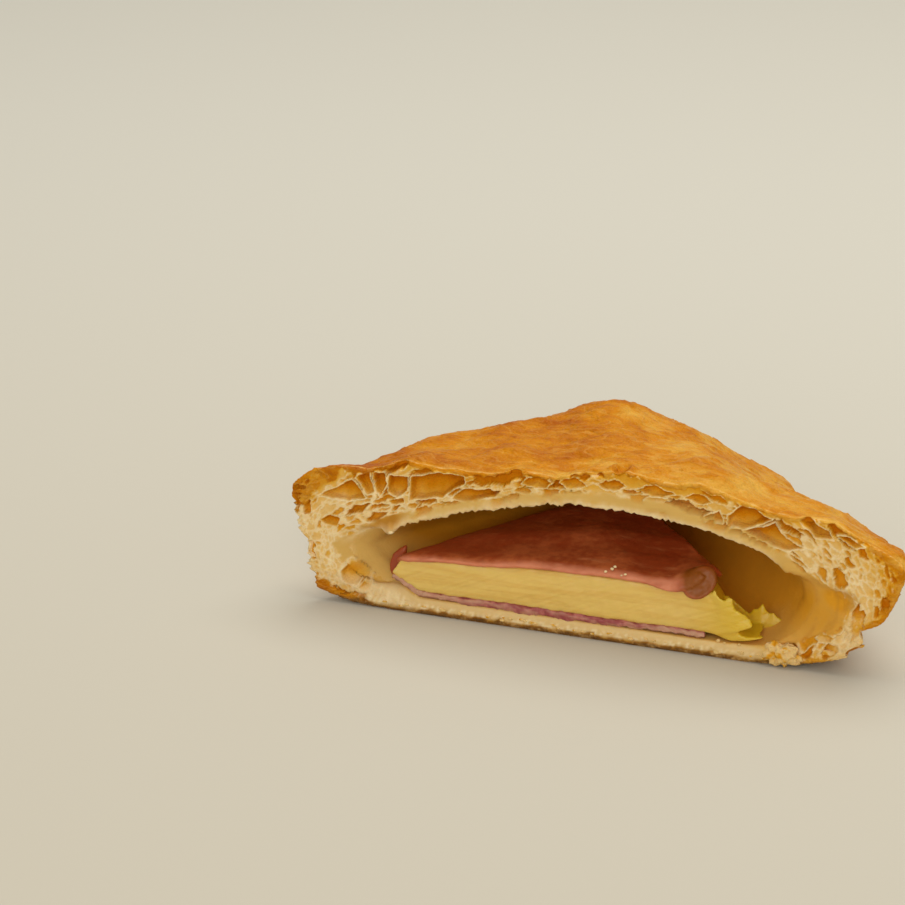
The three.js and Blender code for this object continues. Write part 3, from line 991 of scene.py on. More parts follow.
@dataclass(frozen=True)
class CheeseFinish:
    """Melted yellow cheese, smooth, with the faint slanting drag of the knife."""

    body: Colour = (0.80, 0.55, 0.14)
    drag: Colour = (0.72, 0.43, 0.085)
    melt: Colour = (0.72, 0.47, 0.012)

    def material(self, effects: Effects) -> bpy.types.Material:
        """Returns the cheese's material."""
        s = Shader("melted cheese")
        body = s.group(effects.mottle, Colour=self.body, Patch_Size=90.0, Speck_Size=800.0, Amount=0.07)
        slanted = s.node("ShaderNodeMapping")
        s.link(s.place, slanted.inputs["Vector"])
        s.link((0.0, 0.42, 0.0), slanted.inputs["Rotation"])
        s.link((60.0, 60.0, 900.0), slanted.inputs["Scale"])
        streaks = s.node("ShaderNodeTexNoise")
        s.link(slanted.outputs[0], streaks.inputs["Vector"])
        s.link(1.0, streaks.inputs["Scale"])
        s.link(3.0, streaks.inputs["Detail"])
        streak = s.steps(streaks.outputs["Fac"], 0.42, 0.66)
        colour = s.blend(s.math("MULTIPLY", streak, 0.55), body.outputs["Colour"], self.drag)
        colour = s.blend(s.read("melted"), colour, self.melt)
        s.link(colour, s.surface.inputs["Base Color"])
        s.link(0.38, s.surface.inputs["Roughness"])
        s.link(0.28, s.surface.inputs["Subsurface Weight"])
        s.link((1.0, 0.7, 0.2), s.surface.inputs["Subsurface Radius"])
        s.link(0.002, s.surface.inputs["Subsurface Scale"])
        relief = s.group(effects.relief, Coarse=300.0, Fine=1600.0, Balance=0.35)
        height = s.math("ADD", relief.outputs["Height"], s.math("MULTIPLY", streak, 0.5))
        rise = s.node("ShaderNodeBump")
        s.link(0.3, rise.inputs["Strength"])
        s.link(0.00025, rise.inputs["Distance"])
        s.link(height, rise.inputs["Height"])
        s.link(rise.outputs[0], s.surface.inputs["Normal"])
        return s.material


class CutLine:
    """The closed line where a skin meets the cut, in even steps."""

    def __init__(self, skin: Callable[[Array, Array], Array], step: float = 0.25) -> None:
        """Follows a skin down its right side and back up its left one.

        Args:
            skin: Places points, given directions and shares of the way from the top.
            step: The distance between the line's points in millimetres.
        """
        t = np.linspace(0, 1, 2000)
        right, left = skin(np.zeros_like(t), t), skin(np.full_like(t, np.pi), t[::-1])
        line = np.concatenate([right, left])[:, [0, 2]]
        length = np.concatenate([[0], np.cumsum(np.linalg.norm(np.diff(line, axis=0), axis=1))])
        even = np.arange(0, length[-1], step)
        self.points = np.stack([np.interp(even, length, line[:, k]) for k in (0, 1)], -1)
        ahead = np.roll(self.points, -4, axis=0) - np.roll(self.points, 4, axis=0)
        self.along = ahead / np.linalg.norm(ahead, axis=1)[:, None]

    def nearest(self, x: Array, z: Array) -> tuple[Array, Array]:
        """Finds the line's nearest point to each place.

        Args:
            x: Places along the cut.
            z: Heights.

        Returns:
            The distance to the line, and its direction there as (n, 2).
        """
        distance, index = np.empty(len(x)), np.empty(len(x), int)
        for start in range(0, len(x), 4000):
            block = slice(start, start + 4000)
            gap = (x[block, None] - self.points[:, 0]) ** 2 + (z[block, None] - self.points[:, 1]) ** 2
            index[block] = gap.argmin(1)
            distance[block] = np.sqrt(gap.min(1))
        return distance, self.along[index]


@dataclass(frozen=True)
class Crumb:
    """The small bubbles between the large ones, drawn out along the dough's layers.

    Attributes:
        length: Half the usual length of a bubble along the layers.
        height: Half its usual height across them.
        end_length: The same length near the pastry's ends, where the crumb is finer.
        end_height: The same height near the ends.
        skin: Half the thickness of the skins between the bubbles.
    """

    length: float = 1.9
    height: float = 0.50
    end_length: float = 0.95
    end_height: float = 0.42
    skin: float = 0.06
    closed_share: float = 0.25
    closed_at_ends: float = 0.5
    tries: int = 16_000

    def sizes(self, x: Array) -> tuple[Array, Array]:
        """Returns the usual half length and half height of the bubbles at each place along the cut."""
        ends = np.maximum(smooth(x, 38, 46), smooth(-x, 48, 56))
        return (
            self.length + (self.end_length - self.length) * ends,
            self.height + (self.end_height - self.height) * ends,
        )

    def seeds(self, allowed: Callable[[Array, Array], Array], inner: CutLine) -> Array:
        """Scatters the bubbles' middles.

        Args:
            allowed: Says which places may have a bubble.
            inner: The line that the layers follow.

        Returns:
            For each bubble its x, z, half length, half height, direction (two numbers) and depth.
        """
        random = np.random.default_rng(11)
        x, z = random.uniform(-64, 60, self.tries), random.uniform(0.3, 36, self.tries)
        keep = allowed(x, z)
        x, z = x[keep], z[keep]
        _, along = inner.nearest(x, z)
        length, height = self.sizes(x)
        factor = np.exp(random.normal(0.0, 0.55, len(x)))
        length, height = length * factor, height * factor ** 0.8
        ends = np.maximum(smooth(x, 38, 46), smooth(-x, 48, 56))
        wall = smooth(-x, 51, 55) * (1 - smooth(z, 17, 20))
        length, height = length * (1 - 0.45 * wall), height * (1 - 0.2 * wall)
        closed = random.random(len(x)) < self.closed_share + (self.closed_at_ends - self.closed_share) * ends + 0.3 * wall
        depth = np.where(closed, 0.12, random.uniform(0.5, 1.6 - 0.6 * ends, len(x)) * height * 2)
        made = np.empty((len(x), 7))
        count = 0
        for i in range(len(x)):
            dx, dz = made[:count, 0] - x[i], made[:count, 1] - z[i]
            u = (dx * along[i, 0] + dz * along[i, 1]) / (length[i] + made[:count, 2])
            v = (dz * along[i, 0] - dx * along[i, 1]) / (height[i] + made[:count, 3])
            if count and (u * u + v * v).min() < 0.72:
                continue
            made[count] = x[i], z[i], length[i], height[i], along[i, 0], along[i, 1], depth[i]
            count += 1
        return made[:count]

    def open(self, x: Array, z: Array, seeds: Array) -> tuple[Array, Array]:
        """Works out the small bubbles at each point of the cut face.

        Args:
            x: Places along the cut.
            z: Heights.
            seeds: The bubbles, from seeds().

        Returns:
            The depth in millimetres, and how much each point is inside a bubble, from 0 to 1.
        """
        flat = np.stack([x, z, np.zeros_like(x)], -1)
        wx = x + 0.50 * Noise(31).layers(flat, 2.8, 4)
        wz = z + 0.42 * Noise(37).layers(flat, 2.2, 4)
        first, second = np.full(len(x), 9.0), np.full(len(x), 9.0)
        deep, half = np.zeros(len(x)), np.full(len(x), 0.5)
        for sx, sz, length, height, ax, az, depth in seeds:
            near = np.flatnonzero((np.abs(wx - sx) < 5) & (np.abs(wz - sz) < 4))
            dx, dz = wx[near] - sx, wz[near] - sz
            u, v = np.abs(dx * ax + dz * az) / length, np.abs(dz * ax - dx * az) / height
            gap = (u**2.6 + v**2.6) ** (1 / 2.6)
            nearer = gap < first[near]
            second[near] = np.where(nearer, first[near], np.minimum(second[near], gap))
            deep[near] = np.where(nearer, depth, deep[near])
            half[near] = np.where(nearer, height, half[near])
            first[near] = np.minimum(first[near], gap)
        open_by = (second - first) * half * 0.5
        skin = self.skin * (1 + 1.3 * Noise(43).layers(flat, 1.2, 3))
        return deep * smooth(open_by - skin, 0.0, 0.30), smooth(open_by - skin, -0.05, 0.15)


@dataclass
class Dough:
    """The pastry itself: crust, leaves, crumb and the hollow, with the bubbles of the cut face."""

    outside: Outside = field(default_factory=Outside)
    hollow: Hollow = field(default_factory=Hollow)
    crumb: Crumb = Crumb()
    finish: DoughFinish = DoughFinish()
    grain: float = 0.56  # of the first even mesh
    coarse_share: float = 0.22
    crust_on_cut: float = 0.85
    crust_corners: tuple[Pocket, ...] = (
        Pocket(((-66.0, 29.0), (-63.4, 19.0), (-60.8, 19.4), (-58.6, 22.4), (-54.2, 26.0), (-52.0, 29.0)), 0.0),
        Pocket(((-60.5, 6.0), (-59.0, 0.0), (-47.0, -1.0), (-47.0, 2.2), (-52.0, 2.8)), 0.0),
    )
    base_bubbles: tuple[Pocket, ...] = BASE_POCKETS
    leaf_height: float = 1.15
    leaf_depth: float = 0.75
    funnel_right: float = 3.6
    funnel_left: float = 2.4

    def rough_form(self) -> bpy.types.Object:
        """Makes the closed dough with its cut and its hollow, in an even mesh."""
        dough = shaped_ball("pastry_dough", 200, 132, self.outside.skin)
        take(dough)
        bpy.ops.object.mode_set(mode="EDIT")
        bpy.ops.mesh.select_all(action="SELECT")
        bpy.ops.mesh.bisect(
            plane_co=(0.0, -BASE_POINT_Y * MM, 0.0), plane_no=(0.0, 1.0, 0.0), use_fill=True, clear_inner=True
        )
        bpy.ops.object.mode_set(mode="OBJECT")
        cut_with(dough, shaped_ball("hollow_tool", 160, 96, self.hollow.skin))
        finish_modifier(dough, "REMESH", mode="VOXEL", voxel_size=self.grain * MM, adaptivity=0.0)
        return dough

    def regions(self, points: Array, ways: Array) -> dict[str, Array]:
        """Says which part of the surface each point is on.

        Args:
            points: Places in millimetres.
            ways: Outward directions.

        Returns:
            For each part, which points are on it.
        """
        x, y, z = points.T
        theta, q = self.hollow.polar(x, y)
        roof, floor = self.hollow.roof(theta, q), self.hollow.floor(np.clip(q, 0, 1))
        cut = (y < 0.3) & (ways[:, 1] < -0.55)
        hollow = ~cut & (q < 1.03) & (z < roof + 0.8) & (z > floor - 0.8)
        crown = self.outside.crown(x, y)
        under = ~cut & ~hollow & (ways[:, 2] < -0.6) & (z < 8)
        top = ~cut & ~hollow & ~under & (z > crown - 1.2)
        return {"cut": cut, "hollow": hollow, "under": under, "top": top, "side": ~(cut | hollow | under | top)}

    def in_crumb(self, x: Array, z: Array, outer: CutLine, inner: CutLine) -> Array:
        """Returns which places on the cut are in the open crumb, between the crust and the lining."""
        theta, q = self.hollow.polar(x, np.zeros_like(x))
        hollow = (q < 1) & (z < self.hollow.roof(theta, q)) & (z > self.hollow.floor(np.clip(q, 0, 1)))
        side = np.where(x > 0, 0.0, np.pi)
        rim = self.outside.rim(side)
        h = np.clip(z / self.outside.crown(rim * np.cos(side), np.zeros_like(x)), 0, 1)
        solid = (z < self.outside.crown(x, 0 * x)) & (np.abs(x) < rim + self.outside.wall_offset(side, h))
        to_inner = inner.nearest(x, z)[0]
        base = (z < self.hollow.floor_height + 0.3) & (x > -48) & (x < 33)
        return ~hollow & solid & ~base & (to_inner > self.lining_width(x, z) * 0.85)

    def refine(self, dough: bpy.types.Object, outer: CutLine, inner: CutLine) -> None:
        """Makes the open crumb's mesh finer, and that of the hollow and the underside coarser."""
        middles, ways = face_middles(dough)
        parts = self.regions(middles, ways)
        plain = (parts["hollow"] & (middles[:, 1] > 6)) | (parts["under"] & (middles[:, 1] > 3))
        select_faces(dough, plain)
        bpy.ops.mesh.decimate(ratio=self.coarse_share)
        bpy.ops.object.mode_set(mode="OBJECT")
        middles, ways = face_middles(dough)
        on_cut = (middles[:, 1] < 0.25) & (ways[:, 1] < -0.8)
        on_cut[on_cut] = self.in_crumb(middles[on_cut, 0], middles[on_cut, 2], outer, inner)
        select_faces(dough, on_cut)
        bpy.ops.mesh.subdivide(number_cuts=2)
        bpy.ops.mesh.select_all(action="SELECT")
        bpy.ops.mesh.quads_convert_to_tris()
        bpy.ops.object.mode_set(mode="OBJECT")

    def lining_width(self, x: Array, z: Array) -> Array:
        """Returns the thickness of the close dough round the hollow, along the cut."""
        right_tip = 4.2 * smooth(x, 35, 43) * (1 - smooth(z, 15, 20)) * smooth(z, 5.5, 9.5)
        left_tip = -1.0 * smooth(-x, 45, 52)
        return 2.1 + 1.5 * bump(x, 14, 13) + right_tip + left_tip

    def build(self) -> bpy.types.Object:
        """Builds the dough's mesh with all its relief and stores its masks."""
        outer, inner = CutLine(self.outside.skin), CutLine(self.hollow.skin)
        dough = self.rough_form()
        self.refine(dough, outer, inner)
        points, ways, links = places(dough), normals(dough), edges(dough)
        parts = self.regions(points, ways)
        x, y, z = points.T
        n = len(points)
        cut = parts["cut"]
        soft = {key: spread(value.astype(float), links, 4) for key, value in parts.items()}
        to_outer, to_inner = np.full(n, 99.0), np.full(n, 99.0)
        front = np.flatnonzero(y < 9.0)
        to_outer[front] = outer.nearest(x[front], z[front])[0]
        to_inner[front] = inner.nearest(x[front], z[front])[0]

        wobble = 0.35 * Noise(41).layers(points, (3.0, 3.0, 1.6), 2)
        right_skin = 2.2 * smooth(x, 50, 57) * bump(z, 17, 7) + 0.5 * (1 - smooth(z, 2, 4))
        left_skin = 1.8 * smooth(-x, 52, 60) * smooth(z, 18, 22)
        edge = self.crust_on_cut + right_skin + left_skin
        ragged = Noise(211).layers(points, 1.6, 3)
        crust_line = cut * (1 - smooth(to_outer + 1.2 * wobble + 0.5 * ragged, edge * 0.35, edge * 1.2))
        for corner in self.crust_corners:
            crust_line = np.maximum(crust_line, cut * smooth(corner.open_by(x, z) + 1.6 * wobble, -0.3, 0.9))
        torn_wall = smooth(-x, 50, 54) * smooth(z, 4, 7) * (1 - smooth(z + 2 * wobble, 17.5, 20.5))
        torn_wall = torn_wall * (1 - smooth(y + 5 * wobble, 1.5, 7.0))
        torn_wall = np.maximum(torn_wall, smooth(x, 43, 47) * smooth(z, 1.5, 4) * (1 - smooth(z, 9, 12)) * (y < 1.5))
        slivers = smooth(Noise(193).layers(np.stack([x + z, y, 3.5 * (z - 0.5 * x)], -1), 5.0, 3), -0.25, 0.25)
        crust_line = crust_line * (1 - torn_wall) * (1 - 0.55 * slivers * smooth(to_outer, 0.6, 1.4))
        open_by = np.max([pocket.open_by(x, z) for pocket in self.base_bubbles], axis=0)
        bubble = cut * smooth(open_by + 0.6 * wobble, -1.1, -0.4)
        crust_line = crust_line * (1 - bubble)
        width = self.lining_width(x, z)
        grain = Noise(199).layers(np.stack([x + 0.6 * z, 7.0 * to_inner, 0 * x], -1), 9.0, 3)
        lining = cut * (1 - smooth(to_inner + 1.6 * wobble + 0.5 * grain, width * 0.75, width * 1.15))
        lining = lining * (1 - 0.45 * smooth(grain, 0.0, 0.5))
        band = cut * (1 - smooth(z, 3.2, 3.6)) * (1 - smooth(np.abs(x + 8), 39, 43)) * smooth(z + wobble, 0.9, 1.6)
        lining = np.maximum(lining, band) * (1 - bubble)

        depth, inside, tone = self.open_face(points, cut, outer, inner)
        allowed = (1 - smooth(crust_line, 0.5, 1.0)) * (1 - smooth(lining, 0.4, 0.9))
        dimple = cut * smooth(bump(x, 47.0, 3.0) * bump(z, 15.2, 1.9), 0.25, 0.9)
        depth = depth * allowed + 1.3 * dimple
        depth = np.where(cut, np.minimum(depth, 0.1 + 1.1 * np.maximum(to_inner - 0.5, 0)), depth)
        inside = inside * allowed
        loose = cut * (1 - inside) * (1 - lining)
        rough = Noise(53).layers(points, 0.8, 2)

        moved = points.copy()
        moved[:, 1] += depth + loose * 0.20 * (rough - 0.1)
        moved[:, 1] += cut * lining * 0.08 * Noise(59).layers(points, 2.6, 2)
        self.shape_funnels(points, to_inner, to_outer, cut, soft, moved)
        moved[:, 2] += end_rise(x, y) * np.exp(-((to_inner / 2.0) ** 2)) * (1 - smooth(z, 8, 12)) * smooth(z, 0.8, 2.6)
        self.shape_crust(points, moved)
        self.shape_sides(points, moved)
        self.shape_lip(points, to_inner, moved)
        soft_rim = self.funnel_share(x, z) * (1 - smooth(to_inner, 2.0, 6.0)) * (1 - smooth(y, 3.0, 8.5))
        soft_rim = soft_rim * smooth(to_outer, 2.0, 4.5) * (1 - bubble * smooth(to_inner, 0.4, 1.3))
        outer_edge = np.exp(-((to_outer / 0.8) ** 2)) * (1 - smooth(y, 0.5, 1.5)) * smooth(z, 8, 14)
        for weight, passes in ((soft_rim, 140), (outer_edge, 3)):
            for axis in range(3):
                rounded = spread(moved[:, axis], links, passes)
                moved[:, axis] += weight * (rounded - moved[:, axis])
        moved[:, 2] = np.maximum(moved[:, 2], 0.0)
        moved[:, 1] = np.maximum(moved[:, 1], -0.45)
        put(dough, moved)

        clumps = Noise(191).layers(np.stack([x, 0 * x, 0 * x], -1), 2.4, 3)
        lip = np.exp(-((to_inner / (0.6 + 0.35 * np.clip(clumps, -1, 1))) ** 2))
        lip = lip * np.exp(-((y / 0.8) ** 2)) * smooth(z, 12, 15) * (0.75 + 0.7 * bump(x, 9, 9)) * (1 - smooth(x, 33, 37))
        flecks = loose * (1 - crust_line) * (1 - smooth(lining, 0.2, 0.5)) * smooth(rough, 0.1, 0.6) * 0.6
        bottom = cut * bump(z + wobble, 1.5, 0.45) * smooth(Noise(157).layers(points, 0.9, 2), -0.1, 0.4)
        outer_skin = np.clip(soft["top"] + soft["side"] + soft["under"], 0, 1)
        crust = np.maximum(outer_skin * (1 - cut) * (1 - torn_wall), crust_line)
        # Partly the hollow's own browning and partly painted shade: the hollow's colour sets in the deeper the surface
        # lies behind the cut, and later on the right as painted light, where more light reaches in.
        far_side = 5.0 * smooth(x, 15, 35)
        fade = smooth(y + 3.0 * wobble - far_side, 1.0, 14.0) * (0.5 + 0.5 * smooth(y - far_side, 3, 20))
        # The low part of the right funnel takes on some of the hollow's colour; the second term is painted shade in the
        # upper right of the hollow's left end.
        hollow_tint_and_shade = bump(x, 43, 7) * bump(z, 9, 6) * (to_inner < 12) * (0.4 + 0.6 * lining) * smooth(x, 28, 34)
        hollow_tint_and_shade = hollow_tint_and_shade + 1.6 * bump(x, -42.5, 4.0) * bump(z, 17, 4.0) * soft["hollow"] * (1 - cut) * smooth(y, 0.5, 4)
        close = np.maximum(lining, soft["hollow"])
        # Painted light: the right end of the hollow and its funnel take the warmer, brighter hollow colour, where more
        # light falls in.
        painted_light_right = np.where(cut, smooth(x, 33, 38), 1.8 * smooth(x, 20, 30)) * (1 - smooth(x, 50, 53))
        painted_light_right = painted_light_right * bump(z, 12.0, 6.0) * close
        # Painted shade: the upper right of the left funnel darkens towards the hollow's shaded colour.
        painted_shade_left = smooth(x, -50, -44.5) * (1 - smooth(x, -42, -38)) * smooth(z, 8.5, 14) * cut * close
        under = soft["under"] * (1 - smooth(z, 1.0, 4.0)) + crust_line * (1 - smooth(z + wobble, 1.0, 1.9))
        flaky = cut * bump(x, -41, 9) * (1 - smooth(to_outer + 0.9 * wobble, 0.5, 1.5)) * (1 - smooth(z, 6, 9))
        under = np.maximum(under, 0.85 * flaky)
        dull = cut * (0.2 + 0.8 * smooth(-x, 14, 30)) * smooth(-x, -32, -26) * (1 - smooth(z, 4.5, 7))
        on_cut = tone - 0.22 * bubble * inside + 0.35 * crust_line + 0.3 * smooth(-x, 56, 62) * smooth(z, 19, 22)
        layers = {
            Mask.CRUST: crust,
            Mask.BROWNING: self.browning_and_sheen(points, moved, ways, soft),
            # In the hollow the tone rises towards the right, turning its colour to the painted light.
            Mask.TONE: np.where(cut, on_cut, 0.3 + 0.3 * wobble - 0.25 * torn_wall)
            + soft["hollow"] * (1 - cut) * smooth(x, 2, 26) + painted_light_right,
            Mask.LINING: close,
            Mask.TORN: lip + flecks * (1 - 0.6 * dull) + bottom + 0.42 * band,
            Mask.HOLLOW: soft["hollow"] * (1 - cut) * fade + 0.35 * hollow_tint_and_shade + 0.55 * dimple + 0.5 * painted_light_right + 0.85 * painted_shade_left + 0.2 * dull,
            Mask.UNDER: under,
        }
        for mask, values in layers.items():
            attribute(dough, mask.value, np.clip(values, 0, 1))
        take(dough)
        bpy.ops.object.shade_smooth()
        return dough

    def open_face(
        self, points: Array, cut: Array, outer: CutLine, inner: CutLine
    ) -> tuple[Array, Array, Array]:
        """Opens the bubbles on the cut face.

        Args:
            points: The dough's points.
            cut: Which of them are on the cut face.
            outer: The outer skin's line on the cut.
            inner: The hollow's line on the cut.

        Returns:
            For each point the depth, how much it is inside a bubble, and the dough's tone there, with painted shade
            inside the bubbles.
        """
        which = np.flatnonzero(cut)
        x, z = points[which, 0], points[which, 2]
        flat = np.stack([x, z, np.zeros_like(x)], -1)

        def free(px: Array, pz: Array) -> Array:
            ok = self.in_crumb(px, pz, outer, inner)
            for pocket in POCKETS + self.base_bubbles:
                ok &= pocket.open_by(px, pz) < -0.35
            return ok

        depth, inside = self.crumb.open(x, z, self.crumb.seeds(free, inner))
        base = (1 - smooth(z, 3.5, 4.6)) * smooth(x, -49.0, -47.5) * (1 - smooth(x, 31, 34))
        depth, inside = depth * (1 - base), inside * (1 - base)
        foot = 1 - 0.65 * smooth(x, 44, 48) * (1 - smooth(z, 11, 14))
        depth, inside = depth * foot, inside * foot
        to_outer = outer.nearest(x, z)[0]
        golden = np.exp(-to_outer / 2.6) * (0.55 + 0.45 * bump(x, 4, 26))
        torn_ends = smooth(-x, 49, 53) * (1 - smooth(z, 18, 21)) + smooth(x, 42, 46) * (1 - smooth(z, 8, 11))
        golden = golden * (1 - 0.8 * torn_ends)
        toasted = 0.6 * smooth(x + 0.25 * z, 56, 63) * bump(z, 19, 9) + 0.7 * np.exp(-to_outer / 1.2) * smooth(x, 35, 45)
        toasted = toasted * (1 + 0.8 * Noise(239).layers(flat, 1.6, 2)) * (1 - 0.8 * torn_ends)
        # Painted shade: a small bubble's inside is darker and more orange the deeper it goes.
        tone = 0.07 + 0.50 * golden + 0.42 * toasted + inside * np.clip(0.18 + 0.42 * depth, 0, 0.6)
        shake = 0.30 + 0.25 * bump(x, 3, 14)
        wx, wz = x + shake * Noise(47).layers(flat, 2.8, 4), z + 0.8 * shake * Noise(49).layers(flat, 2.4, 4)
        for pocket in POCKETS + self.base_bubbles:
            open_by = pocket.open_by(wx, wz)
            skin = 0.30 if pocket.depth > 2.6 else 0.16
            near = smooth(open_by, -skin, -0.4 * skin)
            bowl = smooth(open_by, -0.02, 0.65)
            level = pocket.level(wz)
            here = 0.72 * pocket.depth * bowl * (0.45 + 0.55 * level**0.8)
            depth = depth * (1 - near) + here * near
            inside = inside * (1 - near) + smooth(open_by, 0.0, 0.2) * near
            # Painted shade: a pocket's inside darkens towards its top and in deep pockets, and is lighter at its floor.
            shade_by_height = min(pocket.depth / 2.2, 1.0) * (0.42 + 0.52 * smooth(level + 0.12 * (wx - x), 0.0, 0.85))
            shade = 0.03 + smooth(open_by, -0.08, 0.25) * shade_by_height
            tone = tone * (1 - near) + shade * near
        tone = tone + 0.10 * Noise(163).layers(flat, 3.0, 3)
        room = 0.42 * np.maximum(np.where(x < 0, 64.0 + x, 62.0 - x), 0.5)
        for back in (1.0, 2.0, 3.0, 4.0, 5.0):
            under_crust = self.outside.crown(x, np.full_like(x, back)) - z
            room = np.where(under_crust < 0.9, np.minimum(room, back - 0.6), room)
        room = np.maximum(room, 1.3)
        result = np.zeros((3, len(points)))
        result[:, which] = np.minimum(depth, room), inside, tone
        return result[0], result[1], result[2]

    @staticmethod
    def funnel_share(x: Array, z: Array) -> Array:
        """Returns how much each place belongs to the two open ends of the hollow."""
        right = smooth(x, 33, 42) * (1 - smooth(z, 15, 21))
        left = smooth(-x, 38, 45) * (1 - smooth(z, 15, 18))
        return right + left

    def shape_funnels(
        self,
        points: Array,
        to_inner: Array,
        to_outer: Array,
        cut: Array,
        soft: dict[str, Array],
        moved: Array,
    ) -> None:
        """Opens the hollow's two ends towards the cut, where the dough curves into it."""
        x, y, z = points.T
        most = self.funnel_share(x, z) * np.where(x > 0, self.funnel_right, self.funnel_left)
        reach_out = np.where(x > 0, 7.5, 3.0)
        on_face = np.clip(1 - to_inner / reach_out, 0, 1) ** 2 * most
        inward = (1 - smooth(y, -2.0, 11.0)) / (1 - smooth(np.zeros(1), -2.0, 11.0)) * most
        in_hollow = ~cut & ((soft["hollow"] > 0.02) | ((to_inner < 1.2) & (to_outer > 1.4)))
        moved[:, 1] += np.where(cut, on_face, np.where(in_hollow, inward, 0.0))

    def shape_crust(self, points: Array, moved: Array) -> None:
        """Raises the top crust's wrinkles, flake edges and blisters."""
        x, y, z = points.T
        depth = np.maximum(self.outside.crown(x, y) - z, 0)
        near = np.exp(-((depth / 1.3) ** 2)) * (z > 12)
        flat = np.stack([x * 0.94 + y * 0.34, y * 0.94 - x * 0.34, np.zeros_like(x)], -1)
        wrinkles = Noise(61).layers(flat, (8.0, 3.4, 5.0), 4)
        fine = Noise(67).ridges(flat, (4.6, 1.5, 2.4), 3) - 0.55
        flakes = smooth(Noise(71).layers(flat, (13.0, 6.0, 9.0), 3), 0.08, 0.12)
        flakes += smooth(Noise(73).layers(flat, (9.0, 4.0, 7.0), 3), 0.22, 0.26)
        ring = np.hypot(x - 3.8, (y - 2.2) * 0.8)
        blister = 0.7 * bump(ring, 2.0, 0.45) - 0.9 * (1 - smooth(ring, 1.0, 1.8))
        shoulder = 1.2 * bump(x, -20, 8) * bump(y, 24, 9) + 1.7 * bump(x, -50, 6) * bump(y, 6, 8)
        moved[:, 2] += near * (0.36 * wrinkles + 0.34 * fine + 0.22 * flakes - 0.2 + blister + shoulder)

    def shape_sides(self, points: Array, moved: Array) -> None:
        """Pulls the sides into the ragged leaves of the laminated dough."""
        x, y, z = points.T
        theta = np.arctan2(np.maximum(y, 0), x)
        rim = self.outside.rim(theta)
        top = self.outside.crown(rim * np.cos(theta), rim * np.sin(theta))
        h = np.clip(z / top, 0, 1)
        gap = rim + self.outside.wall_offset(theta, h) - np.hypot(x, y)
        near = np.exp(-((np.maximum(gap, 0) / 1.3) ** 2)) * (1 - smooth(z, top - 2.5, top - 0.5)) * smooth(z, 0.6, 2.0)
        level = z / self.leaf_height + 0.9 * Noise(79).layers(points, (9.0, 9.0, 5.0), 2)
        leaf = np.abs(level - np.floor(level) - 0.5) * 2
        uneven = 0.55 + 0.45 * Noise(89).layers(points, (6.0, 6.0, 1.6), 1)
        ragged = Noise(83).layers(points, (1.5, 1.5, 0.9), 2)
        torn = smooth(-x, 50, 56)
        ragged = ragged * (1 + 1.2 * torn)
        thin = np.abs(2.2 * level - np.floor(2.2 * level) - 0.5) * 2
        ragged = ragged + 0.9 * (thin - 0.5) * uneven
        tufts = Noise(233).layers(points, (2.6, 2.6, 2.0), 3) * torn
        tips = np.maximum(Noise(271).layers(points, (1.6, 1.6, 0.7), 2), 0) ** 1.5
        tufts = tufts + 2.2 * tips * torn * smooth(z, 4.0, 6.5) * (1 - smooth(z, 20.0, 24.0))
        out = near * ((self.leaf_depth + 0.2 * torn) * (leaf**2 - 0.35) * uneven + 0.25 * ragged + 0.8 * tufts)
        foot = near * smooth(x, 38, 44) * (1 - smooth(y, 5, 11)) * smooth(z, 0.8, 3.0) * (1 - smooth(z, 8.0, 10.0))
        out = out - 3.2 * foot
        moved[:, 0] += np.cos(theta) * out
        moved[:, 1] += np.sin(theta) * out

    def shape_lip(self, points: Array, to_inner: Array, moved: Array) -> None:
        """Tears the edge of the roof where the knife dragged the dough down."""
        x, y, z = points.T
        near = np.exp(-((to_inner / 0.8) ** 2)) * np.exp(-((np.maximum(y, 0) / 1.1) ** 2)) * smooth(z, 13, 17)
        along = np.stack([x, np.zeros_like(x), z * 0.2], -1)
        teeth = Noise(97).ridges(along, 1.1, 3) ** 2 * (1 - 0.55 * smooth(x, 12, 22))
        hang = 0.9 * teeth + 0.35 * Noise(101).layers(along, 3.5, 2)
        hang += 1.6 * bump(x, -42.6, 0.9) + 0.8 * bump(x, 36.5, 1.0)
        moved[:, 2] -= near * hang
        moved[:, 1] -= near * 0.18 * teeth

    def browning_and_sheen(self, points: Array, moved: Array, ways: Array, soft: dict[str, Array]) -> Array:
        """Returns how brown the crust is, from 0 to 1, with a painted sheen that pales it towards the right slope."""
        x, y, z = points.T
        raised = (moved - points)[:, 2] * soft["top"]
        patches = Noise(103).layers(points, (16.0, 11.0, 9.0), 2)
        brown = 0.48 + 0.20 * patches + 0.22 * np.clip(raised, -1, 1)
        brown += 0.4 * (1 - smooth(np.hypot(x - 3.8, (y - 2.2) * 0.8), 0.8, 2.0)) * soft["top"]
        # Painted sheen: the crust turns paler towards the right slope, where the light is reflected; it is darker
        # towards the left.
        brown += 0.10 * smooth(-x, 5, 25) - 0.16 * smooth(x, 5, 28)
        brown -= 0.12 * soft["side"] + 0.10 * (1 - smooth(y, 1.0, 9.0)) * smooth(x, -40, -10)
        brown += 0.30 * bump(x, -55, 7) * bump(y, 2, 6) * soft["top"]
        brown += 0.22 * bump(x, 56, 5) * bump(z, 20, 6)
        brown += 0.20 * bump(x, 36, 5) * bump(y, 1.5, 2.5) * soft["top"]
        return np.clip(brown, 0, 1)

    def dress(self, dough: bpy.types.Object, effects: Effects) -> None:
        """Gives the dough its material and its place in the frame."""
        dough.data.materials.clear()
        dough.data.materials.append(self.finish.material(effects))
        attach(dough, BODY)
        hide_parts("pastry")


